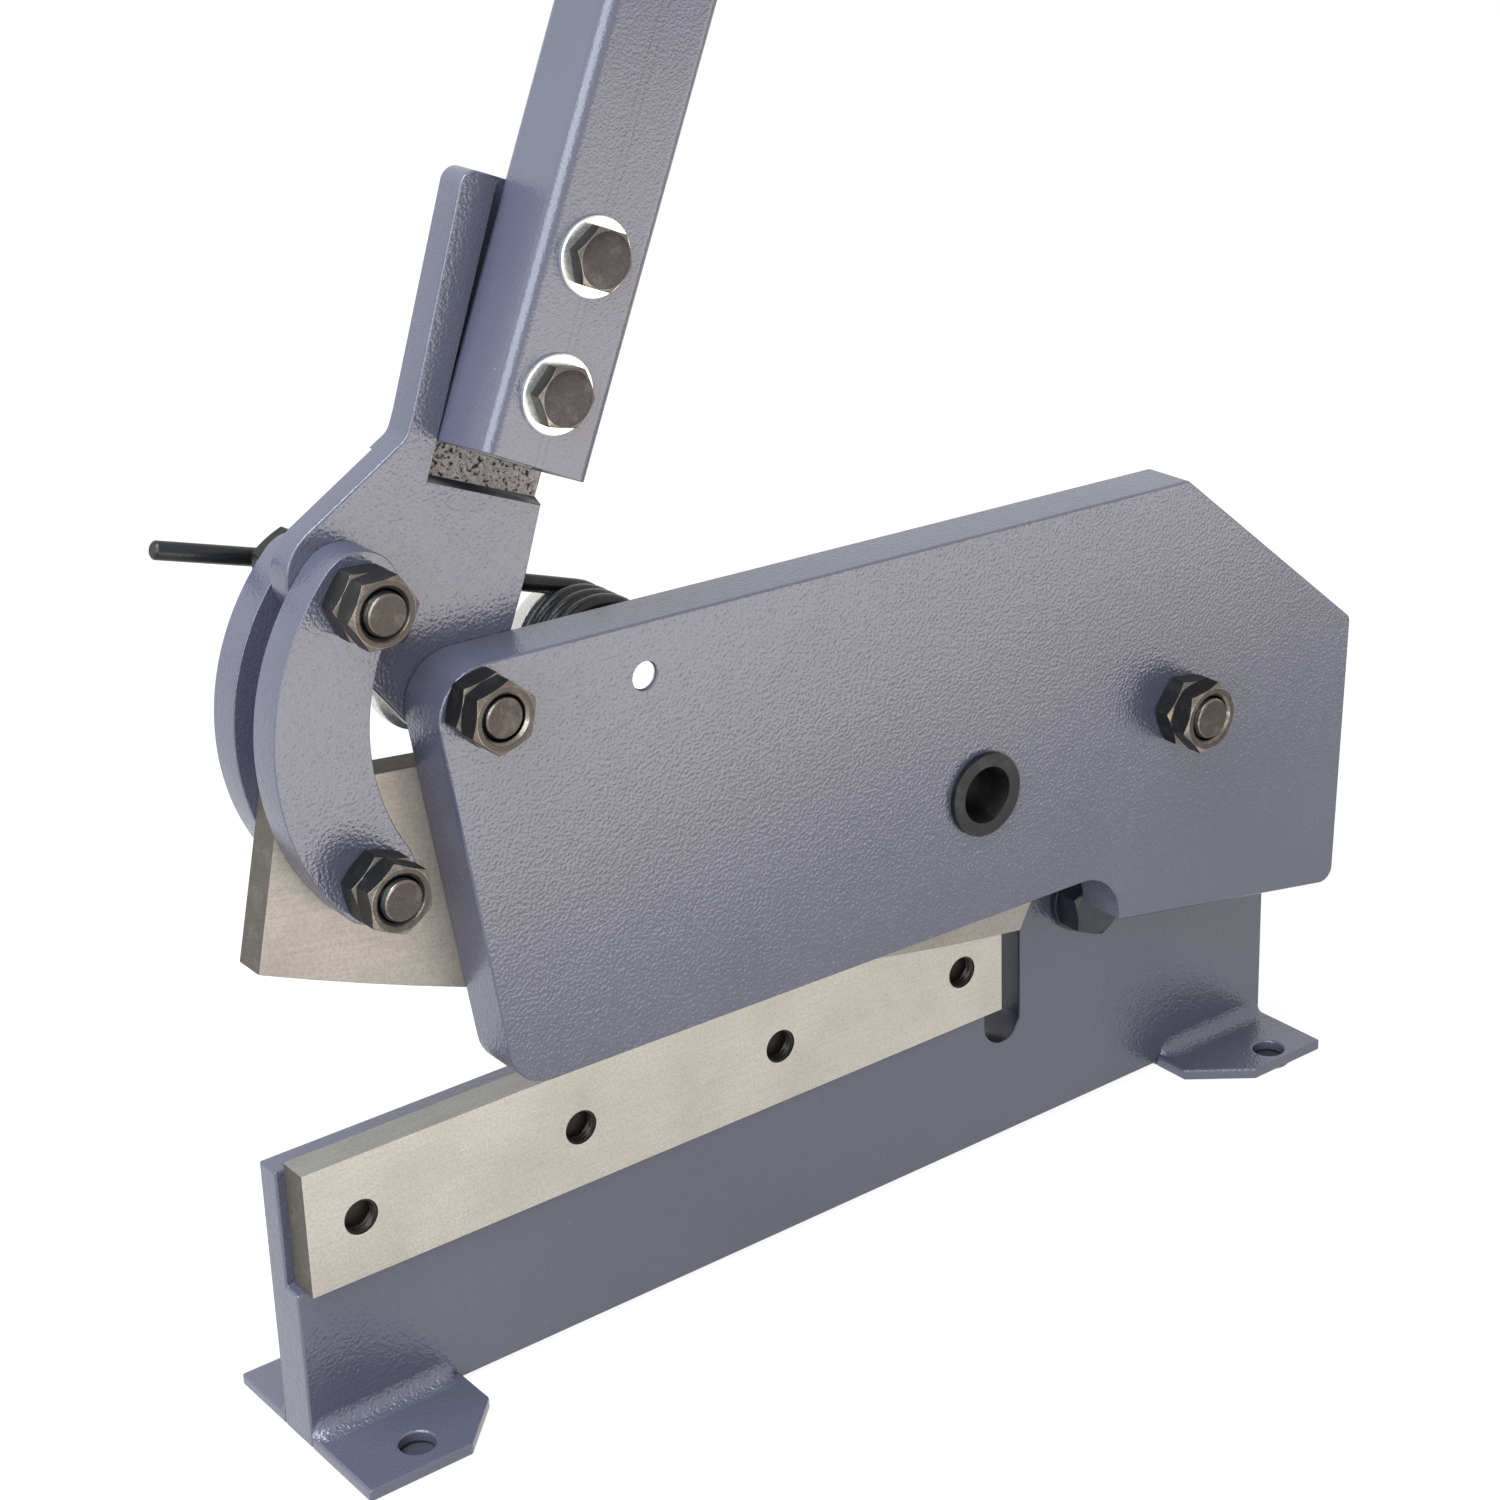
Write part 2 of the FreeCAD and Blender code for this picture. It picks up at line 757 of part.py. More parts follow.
def lever_collar():
    front = hub_back + face_gap
    return ring(lever_pivot, collar_radius, pivot_thread / 2.0 + seat_clear, front, front + collar_thick)


def lever_washer():
    hole = pivot_thread / 2.0 + seat_clear
    return ring(lever_pivot, pivot_flats / 2.0, hole, cheek_back, lever_front - face_gap)


def blade_pivot_bolt():
    tip = nut_tip(cheek_front, main_nut, blade_pivot_proud)
    return bolt(blade_pivot, main_flats, main_thread, main_head, tip, web_thick)


def blade_pivot_collar():
    return ring(blade_pivot, main_thread, main_thread / 2.0 + seat_clear, blade_back + face_gap, 0)


def upper_link_bolt():
    tip = nut_tip(front_link_front - face_gap, pivot_nut)
    return bolt(upper_link, pivot_flats, pivot_thread, link_head, tip, rear_link_back + face_gap)


def lower_link_bolt():
    # Rear half of the opened pivot: head and the stub inside the rear link
    head = hexagon(lower_link, pivot_flats, rear_link_back, rear_link_back + link_head, round_front=False)
    return head.fuse(rod(lower_link, pivot_thread / 2.0, rear_link_front, rear_link_back)).removeSplitter()


def lower_link_stub():
    # Front half of the opened pivot: the stub inside the front link and its threaded end
    return bolt_end(lower_link, pivot_thread, nut_tip(front_link_front, pivot_nut), front_link_back)


def stop_bolt():
    seat = -stop_washer
    head = hexagon(stop_point, stop_flats, seat - stop_head, seat, stop_turn, round_back=False)
    return head.fuse(rod(stop_point, stop_thread / 2.0, seat, web_thick + thread_past)).removeSplitter()


def stop_bolt_washer():
    return ring(stop_point, stop_washer_out, stop_thread / 2.0 + seat_clear, -stop_washer, 0)


def coil_plane(turn):
    return cheek_back + coil_air + wire / 2.0 + turn * coil_pitch


def hub_end():
    return coil_plane(coil_turns) + wire / 2.0 + coil_air


def winding(y):
    return Part.makeTorus(coil_radius, wire / 2.0, vec(spring_axis, y), V(0, 1, 0))


def spring_pin():
    return rod(spring_axis, spring_pin_radius, cheek_front + spring_pin_sunk, hub_end() + spring_pin_past)


def spring_bush():
    # Hub inside the coil with a flange behind it
    back = hub_end() + spring_flange_thick
    solid = rod(spring_axis, spring_hub_radius, cheek_back, hub_end())
    solid = solid.fuse(rod(spring_axis, spring_flange, hub_end(), back))
    hole = rod(spring_axis, spring_pin_radius + seat_clear, cheek_back - 1, back + 1)
    return solid.cut(hole).removeSplitter()


def spring_coil():
    # Closed turns of the still part of the spring
    return Part.makeCompound([winding(coil_plane(i)) for i in range(coil_turns)])


def spring_leg():
    # Last three quarters of a turn of the spring, and the leg that leaves them at a tangent
    angle = math.radians(leg_angle)
    along = V(math.cos(angle), 0, math.sin(angle))
    out = V(math.sin(angle), 0, -math.cos(angle))
    middle = vec(spring_axis, coil_plane(coil_turns))
    start = middle + along * coil_radius
    root = middle + out * coil_radius
    turn = Part.Arc(start, middle - out * coil_radius, root).toShape()
    bend = root + along * leg_bend + V(0, leg_plane - middle.y, 0)
    tip = bend + along * (leg_tip - leg_bend)
    path = Part.Wire([turn, Part.makeLine(root, bend), Part.makeLine(bend, tip)])
    section = Part.Wire(Part.Circle(start, out, wire / 2.0).toShape())
    return path.makePipeShell([section], True, False, 2)


def save_frame():
    foot_far = web_thick + foot_back_reach
    right_left = web_length - right_foot_length
    left_x, right_x = foot_hole_x
    save("base_web", base_web())
    left_size = left_foot_length
    right_size = right_foot_length
    save("left_front_foot", foot(0, left_size, 0, -left_foot_reach, (left_x, foot_hole_front)))
    save("left_rear_foot", foot(0, left_size, web_thick, foot_far, (left_x, foot_hole_back)))
    save("right_front_foot", foot(right_left, right_size, 0, -right_foot_reach, (right_x, foot_hole_front)))
    save("right_rear_foot", foot(right_left, right_size, web_thick, foot_far, (right_x, foot_hole_back)))
    save("foot_welds", foot_welds())
    save("lower_blade", lower_blade())
    save("lower_blade_screws", lower_blade_screws())
    save("cheek", cheek())
    save("cheek_spacer", cheek_spacer())
    save("front_bush", front_bush())
    save("lever_pivot_bolt", lever_pivot_bolt())
    save("lever_pivot_nuts", nut_pair(lever_pivot, cheek_front, lever_pivot_turns))
    save("lever_collar", lever_collar())
    save("lever_washer", lever_washer())
    save("blade_pivot_bolt", blade_pivot_bolt())
    main_nuts = nut_pair(blade_pivot, cheek_front, blade_pivot_turns, main_flats, main_thread, main_nut)
    save("blade_pivot_nuts", main_nuts)
    save("blade_pivot_collar", blade_pivot_collar())
    save("stop_bolt", stop_bolt())
    save("stop_bolt_washer", stop_bolt_washer())
    save("spring_pin", spring_pin())
    save("spring_bush", spring_bush())
    save("spring_coil", spring_coil())


def save_moving_parts():
    link_nut_face = front_link_front - face_gap
    save("spring_leg", spring_leg())
    save("moving_blade", moving_blade())
    save("blade_bush", blade_bush())
    save("lower_link_pin", lower_link_pin())
    save("lever_plate", lever_plate())
    save("handle_tube", handle_tube())
    save("handle_cap", handle_cap())
    save("handle_bolts", handle_bolts())
    save("handle_washers", handle_washers())
    save("handle_nuts", handle_nuts())
    save("upper_link_bolt", upper_link_bolt())
    save("upper_link_nuts", nut_pair(upper_link, link_nut_face, upper_link_turns))
    save("front_link", link(front_link_front, front_link_back, front_link_form))
    save("rear_link", link(rear_link_front, rear_link_back, rear_link_form))
    save("lower_link_bolt", lower_link_bolt())
    save("lower_link_stub", lower_link_stub())
    save("lower_link_nuts", nut_pair(lower_link, front_link_front, lower_link_turns))


save_frame()
save_moving_parts()
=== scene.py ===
"""Looks of a hand lever shear: paint, ground steel, blackened fasteners, camera and studio."""

import json
import logging
import math
from collections.abc import Callable, Iterator, Sequence
from contextlib import contextmanager
from dataclasses import dataclass
from enum import Enum

import bmesh
import bpy
from mathutils import Matrix, Vector, noise


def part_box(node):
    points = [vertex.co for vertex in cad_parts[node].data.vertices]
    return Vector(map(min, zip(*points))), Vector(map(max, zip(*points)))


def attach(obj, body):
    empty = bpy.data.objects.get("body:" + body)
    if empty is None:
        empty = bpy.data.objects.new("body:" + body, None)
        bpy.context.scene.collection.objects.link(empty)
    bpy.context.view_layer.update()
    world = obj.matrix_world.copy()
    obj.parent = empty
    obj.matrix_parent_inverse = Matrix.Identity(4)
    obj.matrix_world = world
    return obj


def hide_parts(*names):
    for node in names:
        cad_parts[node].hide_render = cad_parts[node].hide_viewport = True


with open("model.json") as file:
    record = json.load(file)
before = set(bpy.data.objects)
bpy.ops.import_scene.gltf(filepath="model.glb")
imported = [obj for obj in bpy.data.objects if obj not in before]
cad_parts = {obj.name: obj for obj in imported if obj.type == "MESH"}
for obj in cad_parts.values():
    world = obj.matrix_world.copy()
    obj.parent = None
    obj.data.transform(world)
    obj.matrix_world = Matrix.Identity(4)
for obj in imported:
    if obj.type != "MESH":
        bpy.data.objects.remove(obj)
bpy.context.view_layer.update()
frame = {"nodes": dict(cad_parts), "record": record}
LOG = logging.getLogger("hand_lever_shear")
BODY_OF = {node: body for body, nodes in frame["record"]["behaviour"]["bodies"].items() for node in nodes}
MM = 0.001
SIXTH = math.radians(60.0)
CORE = (0.35, 0.65)  # Band of a noise value that holds most of its surface.
WHOLE = (0.3, 0.7)  # Band of a noise value that holds nearly all of it.
FACING = 0.9  # Least share of a normal along an axis that the face looks along.

Pair = tuple[float, float]
Colour = tuple[float, float, float]
Point = tuple[float, float, float]
Socket = bpy.types.NodeSocket
Mesh = bpy.types.Mesh
Material = bpy.types.Material


def shaded(colour: Colour, share: float) -> Colour:
    """The colour times a share."""
    return tuple(share * part for part in colour)


def into_scene(thing: bpy.types.Object) -> None:
    """Links an object to the scene."""
    bpy.context.scene.collection.objects.link(thing)


@contextmanager
def reshaped(mesh: Mesh, *sources: Mesh) -> Iterator[bmesh.types.BMesh]:
    """Opens a mesh for an edit and writes it back afterwards.

    Args:
        mesh: The mesh that is written.
        sources: Meshes that the edit starts from, where it isn't the mesh itself.

    Yields:
        The editable shape.
    """
    shape = bmesh.new()
    for source in sources or (mesh,):
        shape.from_mesh(source)
    yield shape
    shape.to_mesh(mesh)
    shape.free()


class Slot(Enum):
    """Material slots of the record."""

    PAINT = "grey_paint"
    GROUND = "ground_steel"
    BLACK = "black_steel"
    ZINC = "zinc_steel"
    CAP = "black_cap"


class NodeTree:
    """Small helper that writes the nodes of a material or of the world step by step."""

    def __init__(self, owner: Material | bpy.types.World) -> None:
        """Empties the owner's tree."""
        self.owner = owner
        owner.use_nodes = True
        self.tree = owner.node_tree
        self.tree.nodes.clear()

    def add(self, kind: str, **settings: object) -> bpy.types.Node:
        """Adds one node.

        Args:
            kind: The node's type name.
            settings: Attributes, or inputs where the name has a capital letter, as values or sockets to link.

        Returns:
            The new node.
        """
        node = self.tree.nodes.new(kind)
        for key, value in settings.items():
            if key[0].isupper():
                self.feed(node.inputs[key.replace("_", " ")], value)
            else:
                setattr(node, key, value)
        return node

    def feed(self, end: Socket, value: object) -> None:
        """Gives an input its value, or links it where the value is a socket."""
        if isinstance(value, Socket):
            self.tree.links.new(value, end)
        else:
            end.default_value = value

    def coordinates(self, stretch: Point = (1.0, 1.0, 1.0), turn: float = 0.0) -> Socket:
        """Object coordinates, turned and then stretched.

        Args:
            stretch: Scale on each axis.
            turn: Rotation about Y, in degrees.

        Returns:
            The vector socket.
        """
        place = self.add("ShaderNodeTexCoord").outputs["Object"]
        turned = self.add("ShaderNodeMapping", Vector=place, Rotation=(0.0, math.radians(turn), 0.0))
        return self.add("ShaderNodeMapping", Vector=turned.outputs["Vector"], Scale=stretch).outputs["Vector"]

    def axis(self, vector: Socket, name: str) -> Socket:
        """One coordinate of a vector, by its name X, Y or Z."""
        return self.add("ShaderNodeSeparateXYZ", Vector=vector).outputs[name]

    def noise(self, vector: Socket, scale: float, detail: float = 2.0, rough: float = 0.5) -> Socket:
        """Noise with some cells per metre, a number of finer layers and the share of each finer layer."""
        node = self.add("ShaderNodeTexNoise", Vector=vector, Scale=scale, Detail=detail, Roughness=rough)
        return node.outputs["Fac"]

    def cells(self, vector: Socket, scale: float) -> Socket:
        """Distance to the nearest of scattered points, in cells."""
        return self.add("ShaderNodeTexVoronoi", Vector=vector, Scale=scale).outputs["Distance"]

    def ramp(self, value: Socket, band: Pair, out: Pair = (0.0, 1.0)) -> Socket:
        """Stretches a band of values onto another and holds it at its ends."""
        return self.add("ShaderNodeMapRange", Value=value, From_Min=band[0], From_Max=band[1],
                        To_Min=out[0], To_Max=out[1]).outputs["Result"]

    def combine(self, operation: str, first: Socket, second: Socket | float = 0.0,
                **settings: object) -> Socket:
        """Joins two values.

        Args:
            operation: Arithmetic operation, such as MULTIPLY.
            first: Its first value.
            second: Its second value, where it takes two.
            settings: Further attributes of the node.

        Returns:
            The value socket.
        """
        node = self.add("ShaderNodeMath", operation=operation, **settings)
        self.feed(node.inputs[0], first)
        self.feed(node.inputs[1], second)
        return node.outputs[0]

    def mix(self, factor: Socket, first: Colour | Socket, second: Colour | Socket) -> Socket:
        """Mixes two colours.

        Args:
            factor: Share of the second colour.
            first: Colour or colour socket.
            second: Colour or colour socket.

        Returns:
            The mixed colour socket.
        """
        node = self.add("ShaderNodeMix", data_type="RGBA", Factor=factor)
        for name, colour in (("A", first), ("B", second)):
            socket = [s for s in node.inputs if s.name == name and s.type == "RGBA"][0]
            self.feed(socket, colour if isinstance(colour, Socket) else (*colour, 1.0))
        return [s for s in node.outputs if s.type == "RGBA"][0]

    def lay(self, below: Colour | Socket, over: Colour, value: Socket, band: Pair,
            share: Pair = (0.0, 1.0)) -> Socket:
        """Lays a colour over another, by a share that changes across a band of a value."""
        return self.mix(self.ramp(value, band, share), below, over)

    def wear(self, value: Socket, roughness: float, under: float, over: float) -> Socket:
        """Roughness that a noise value spreads under and over a middle one."""
        return self.ramp(value, WHOLE, (roughness - under, roughness + over))

    def bump(self, height: Socket, depth: float, **below: Socket) -> Socket:
        """Bump of a depth in metres from a height of 0 to 1, over the Normal of an earlier bump."""
        node = self.add("ShaderNodeBump", Strength=1.0, Distance=depth, Height=height, **below)
        return node.outputs["Normal"]

    def blend(self, factor: Socket, first: Socket, second: Socket) -> Socket:
        """Mixes two shaders."""
        node = self.add("ShaderNodeMixShader")
        for end, value in zip(node.inputs, (factor, first, second)):
            self.feed(end, value)
        return node.outputs[0]

    def seen_white(self) -> Socket:
        """Socket that is 1 for what the camera, a reflection or glass sees."""
        path = self.add("ShaderNodeLightPath").outputs
        total = path["Is Camera Ray"]
        for name in ("Is Glossy Ray", "Is Transmission Ray"):
            total = self.combine("ADD", total, path[name], use_clamp=True)
        return total

    def surface(self, colour: Socket, roughness: Socket, normal: Socket, **settings: object) -> Material:
        """Ends the material with a shader.

        Args:
            colour: Base colour.
            roughness: Roughness.
            normal: Bumped normal.
            settings: Uniform values for the shader's own sockets.

        Returns:
            The finished material.
        """
        shader = self.add("ShaderNodeBsdfPrincipled", Base_Color=colour, Roughness=roughness, Normal=normal,
                          **settings)
        self.add("ShaderNodeOutputMaterial", Surface=shader.outputs["BSDF"])
        return self.owner


@dataclass(frozen=True)
class HammeredPaint:
    """Grey-blue gloss paint with an orange peel, faint clouds and a few pale specks."""

    name: str = "hammered_paint"
    colour: Colour = (0.088, 0.0850, 0.127)
    cloud_colour: Colour = (0.103, 0.0995, 0.140)
    cloud_scale: float = 16.0
    speck_colour: Colour = (0.36, 0.36, 0.40)
    speck_scale: float = 60.0
    speck_rim: Pair = (0.014, 0.024)
    speck_share: float = 0.6
    roughness: float = 0.22
    gloss: float = 0.9
    peel_scale: float = 830.0
    peel_depth: float = 0.00024
    grit_scale: float = 1900.0
    grit_depth: float = 0.00003
    grit_shade: float = 0.7
    grit_share: float = 0.35
    lines: tuple[float, ...] = ()
    line_turn: float = 0.0
    line_half: float = 0.00022
    line_shade: float = 0.3
    line_share: float = 0.55
    line_wander: float = 0.0002
    wander_scale: float = 40.0

    def build(self) -> Material:
        """Returns the node material."""
        nodes = NodeTree(bpy.data.materials.new(self.name))
        where = nodes.coordinates()
        peel = nodes.noise(where, self.peel_scale, detail=1.5, rough=0.45)
        grit = nodes.noise(where, self.grit_scale)
        clouds = nodes.noise(where, self.cloud_scale, detail=3.0)
        specks = nodes.cells(where, self.speck_scale)
        tint = nodes.lay(self.colour, self.cloud_colour, clouds, CORE)
        tint = nodes.lay(tint, shaded(self.colour, self.grit_shade), grit, CORE, (0.0, self.grit_share))
        tint = nodes.lay(tint, self.speck_colour, specks, self.speck_rim, (self.speck_share, 0.0))
        if self.lines:
            tint = self.scribe(nodes, tint)
        roughness = nodes.wear(grit, self.roughness, under=0.04, over=0.06)
        normal = nodes.bump(grit, self.grit_depth, Normal=nodes.bump(peel, self.peel_depth))
        return nodes.surface(tint, roughness, normal, Metallic=0.0, IOR=1.5, Specular_IOR_Level=self.gloss)

    def scribe(self, nodes: NodeTree, tint: Socket) -> Socket:
        """Darkens a tint along the scribed lines.

        Args:
            nodes: The material in the making.
            tint: Colour socket below.

        Returns:
            The darkened colour socket.
        """
        waves = nodes.noise(nodes.coordinates(), self.wander_scale)
        wander = nodes.ramp(waves, WHOLE, (-self.line_wander, self.line_wander))
        across = nodes.axis(nodes.coordinates(turn=self.line_turn), "X")
        across = nodes.combine("ADD", across, wander)
        rim = (self.line_half, self.line_half * 2.0)
        for line in self.lines:
            off = nodes.combine("ABSOLUTE", nodes.combine("SUBTRACT", across, line))
            tint = nodes.lay(tint, shaded(self.colour, self.line_shade), off, rim, (self.line_share, 0.0))
        return tint


@dataclass(frozen=True)
class TubePaint(HammeredPaint):
    """Smoother paint of the handle tube, with two faint lines scribed along its lean."""

    name: str = "tube_paint"
    peel_scale: float = 1150.0
    peel_depth: float = 0.00011
    lines: tuple[float, ...] = (-0.2606, -0.2580)
    line_turn: float = -22.4


@dataclass(frozen=True)
class BeadPaint(HammeredPaint):
    """Thicker paint of the weld beads, drawn paler and with bigger pale specks as a painted highlight with
    glints.
    """

    name: str = "bead_paint_painted_highlight"
    colour: Colour = (0.098, 0.095, 0.139)
    cloud_colour: Colour = (0.125, 0.122, 0.166)
    # Bigger pale specks: painted glints.
    speck_colour: Colour = (0.50, 0.50, 0.54)
    speck_scale: float = 300.0
    roughness: float = 0.18
    peel_depth: float = 0.0006


@dataclass(frozen=True)
class GroundSteel:
    """Bare steel with grinding marks, faint stains and dark pinholes."""

    name: str
    colour: Colour
    stain: Colour
    roughness: float = 0.42
    metallic: float = 0.75
    pinholes: float = 0.0
    pinhole_colour: Colour = (0.02, 0.018, 0.016)
    pinhole_scale: float = 480.0
    pinhole_rim: Pair = (0.10, 0.22)
    marks: Point = (40.0, 900.0, 1400.0)
    turn: float = 0.0
    depth: float = 0.000012
    cloud_scale: float = 28.0
    mottle_scale: float = 1100.0
    mottle_shade: float = 0.6

    def build(self) -> Material:
        """Returns the node material."""
        nodes = NodeTree(bpy.data.materials.new(self.name))
        where = nodes.coordinates()
        marks = nodes.noise(nodes.coordinates(self.marks, self.turn), 1.0, detail=4.0, rough=0.65)
        mottle = nodes.noise(where, self.mottle_scale, detail=3.0, rough=0.6)
        cloud = nodes.noise(where, self.cloud_scale, detail=4.0, rough=0.6)
        holes = nodes.cells(where, self.pinhole_scale)
        spots = shaded(self.stain, self.mottle_shade)
        tint = nodes.lay(self.colour, self.stain, cloud, band=(0.42, 0.72), share=(0.0, 0.6))
        tint = nodes.lay(tint, self.stain, marks, band=(0.35, 0.7), share=(0.0, 0.35))
        tint = nodes.lay(tint, spots, mottle, band=(0.4, 0.62), share=(0.0, 0.30))
        tint = nodes.lay(tint, self.pinhole_colour, holes, self.pinhole_rim, (self.pinholes, 0.0))
        roughness = nodes.wear(marks, self.roughness, under=0.06, over=0.08)
        normal = nodes.bump(marks, self.depth, Normal=nodes.bump(mottle, self.depth * 1.5))
        return nodes.surface(tint, roughness, normal, Metallic=self.metallic)


@dataclass(frozen=True)
class BlackedSteel:
    """Dark steel or dark paint with rubbed spots, blackened, under oil or painted; some finishes carry
    painted shade, one a painted highlight.
    """

    name: str
    colour: Colour
    rubbed: Colour
    roughness: float = 0.36
    metallic: float = 0.6
    rub_scale: float = 160.0
    rub_band: Pair = (0.52, 0.72)
    pore_scale: float = 1500.0
    pore_shade: float = 0.35
    pore_depth: float = 0.00002

    def build(self) -> Material:
        """Returns the node material."""
        nodes = NodeTree(bpy.data.materials.new(self.name))
        where = nodes.coordinates()
        pores = nodes.noise(where, self.pore_scale, detail=4.0, rough=0.7)
        rubs = nodes.noise(where, self.rub_scale, detail=3.0, rough=0.6)
        tint = nodes.lay(self.colour, self.rubbed, rubs, self.rub_band)
        dull = shaded(self.colour, self.pore_shade)
        tint = nodes.lay(tint, dull, pores, band=(0.4, 0.7), share=(0.0, 0.55))
        roughness = nodes.wear(pores, self.roughness, under=0.08, over=0.12)
        return nodes.surface(tint, roughness, nodes.bump(pores, self.pore_depth), Metallic=self.metallic)


@dataclass(frozen=True)
class PittedSteel:
    """Rough grey metal full of small black pits, as in the lever's seat."""

    name: str = "pitted_steel"
    colour: Colour = (0.50, 0.44, 0.42)
    shade: float = 0.55
    coarse_scale: float = 620.0
    coarse_depth: float = 0.0003
    roughness: Pair = (0.5, 0.75)
    metallic: float = 0.3
    pit: Colour = (0.012, 0.011, 0.010)
    pit_scale: float = 760.0
    pit_depth: float = 0.0004

    def build(self) -> Material:
        """Returns the node material."""
        nodes = NodeTree(bpy.data.materials.new(self.name))
        where = nodes.coordinates()
        coarse = nodes.noise(where, self.coarse_scale, detail=4.0, rough=0.7)
        pits = nodes.ramp(nodes.noise(where, self.pit_scale), band=(0.36, 0.44), out=(1.0, 0.0))
        tint = nodes.lay(shaded(self.colour, self.shade), self.colour, coarse, CORE)
        tint = nodes.mix(pits, tint, self.pit)
        pitted = nodes.bump(nodes.combine("SUBTRACT", coarse, pits), self.pit_depth)
        normal = nodes.bump(coarse, self.coarse_depth, Normal=pitted)
        return nodes.surface(tint, nodes.ramp(coarse, WHOLE, self.roughness), normal, Metallic=self.metallic)


class Finishes:
    """Every finish of the shear, built once."""

    def __init__(self) -> None:
        """Builds the materials."""
        self.paint = HammeredPaint().build()
        self.tube_paint = TubePaint().build()
        self.bead = BeadPaint().build()
        self.pitted = PittedSteel().build()
        self.blade = GroundSteel("lower_blade_steel", (0.60, 0.548, 0.485), (0.45, 0.40, 0.34),
                                 pinholes=0.12).build()
        # The lower blade's top and bottom faces take this darker grey as painted shade.
        self.blade_top = GroundSteel("blade_top_painted_shade", (0.33, 0.32, 0.30), (0.23, 0.215, 0.19),
                                     pinholes=0.2).build()
        self.moving = GroundSteel("moving_blade_steel", (0.39, 0.350, 0.305), (0.265, 0.232, 0.198),
                                  metallic=0.45, pinholes=0.15, turn=-10.0).build()
        self.zinc = GroundSteel("zinc_plate", (0.80, 0.80, 0.77), (0.62, 0.62, 0.60),
                                roughness=0.30, metallic=0.85).build()
        self.scale, self.black, self.nut_face, self.head_face, self.bolt_end, self.highlight_edge = (
            BlackedSteel(*row).build() for row in (
                ("blade_end_scale", (0.085, 0.070, 0.055), (0.13, 0.108, 0.085), 0.6, 0.2),
                ("black_oxide", (0.018, 0.017, 0.017), (0.045, 0.042, 0.040)),
                ("nut_face", (0.042, 0.033, 0.027), (0.088, 0.070, 0.057), 0.34, 0.5),
                ("head_face", (0.036, 0.028, 0.028), (0.070, 0.057, 0.055), 0.38, 0.5),
                ("bolt_end", (0.042, 0.033, 0.028), (0.100, 0.080, 0.067), 0.38, 0.6),
                # Lighter turned chamfers, bore mouths and tip bevels: a painted highlight.
                ("painted_highlight_edge", (0.18, 0.150, 0.124), (0.34, 0.30, 0.26), 0.24, 0.8)))
        self.navy, self.oiled, self.spring, self.cap = (
            BlackedSteel(*row).build() for row in (
                # Dark navy: on the stop bolt, and as painted shade in the web's slot, on the lever seat's
                # shoulder and on the stop washer.
                ("dark_navy_and_painted_shade", (0.016, 0.017, 0.027), (0.032, 0.033, 0.046), 0.30, 0.0),
                # Black under oil on the screws, and painted shade on the walls and threads of the lower
                # blade's holes.
                ("oiled_bore", (0.020, 0.014, 0.010), (0.055, 0.034, 0.022), 0.4, 0.4),
                ("spring_wire", (0.020, 0.020, 0.021), (0.030, 0.030, 0.032), 0.26, 0.5),
                ("cap_plastic", (0.020, 0.020, 0.020), (0.03, 0.03, 0.03), 0.5, 0.0)))
        # Nuts, bolt ends and heads: black sides, their own faces, and the painted highlight on turned edges.
        self.nut, self.bolt, self.head = (
            [self.black, face, self.highlight_edge] for face in (self.nut_face, self.bolt_end, self.head_face))


class Form:
    """Mesh in the making, from rings of points joined by faces."""

    def __init__(self) -> None:
        """Starts with nothing."""
        self.points: list[Point] = []
        self.faces: list[tuple[int, ...]] = []
        self.finish: list[int] = []

    def ring(self, points: Sequence[Point]) -> list[int]:
        """Adds a ring of points and returns their numbers."""
        start = len(self.points)
        self.points.extend(points)
        return list(range(start, len(self.points)))

    def skin(self, first: list[int], second: list[int], finish: int = 0) -> None:
        """Joins two rings of the same length by four-sided faces.

        Args:
            first: One ring.
            second: The other ring.
            finish: Number of the material.
        """
        for i in range(len(first)):
            j = (i + 1) % len(first)
            self.faces.append((first[i], first[j], second[j], second[i]))
            self.finish.append(finish)

    def cap(self, ring: list[int], finish: int = 0) -> None:
        """Closes a ring with one face."""
        self.faces.append(tuple(ring))
        self.finish.append(finish)

    def tube(self, rings: Sequence[list[int]], closed: bool = False) -> None:
        """Skins a row of rings, and caps both ends unless it is closed into a loop.

        Args:
            rings: The rings, from end to end.
            closed: Whether the last ring joins the first.
        """
        for first, second in zip(rings, [*rings[1:], rings[0]] if closed else rings[1:]):
            self.skin(first, second)
        if not closed:
            self.cap(rings[0])
            self.cap(rings[-1])

    def mesh(self, name: str) -> Mesh:
        """Turns the form into a mesh of that name with outward faces."""
        mesh = bpy.data.meshes.new(name)
        mesh.from_pydata(self.points, [], self.faces)
        mesh.polygons.foreach_set("material_index", self.finish)
        with reshaped(mesh) as shape:
            bmesh.ops.recalc_face_normals(shape, faces=shape.faces)
        return mesh


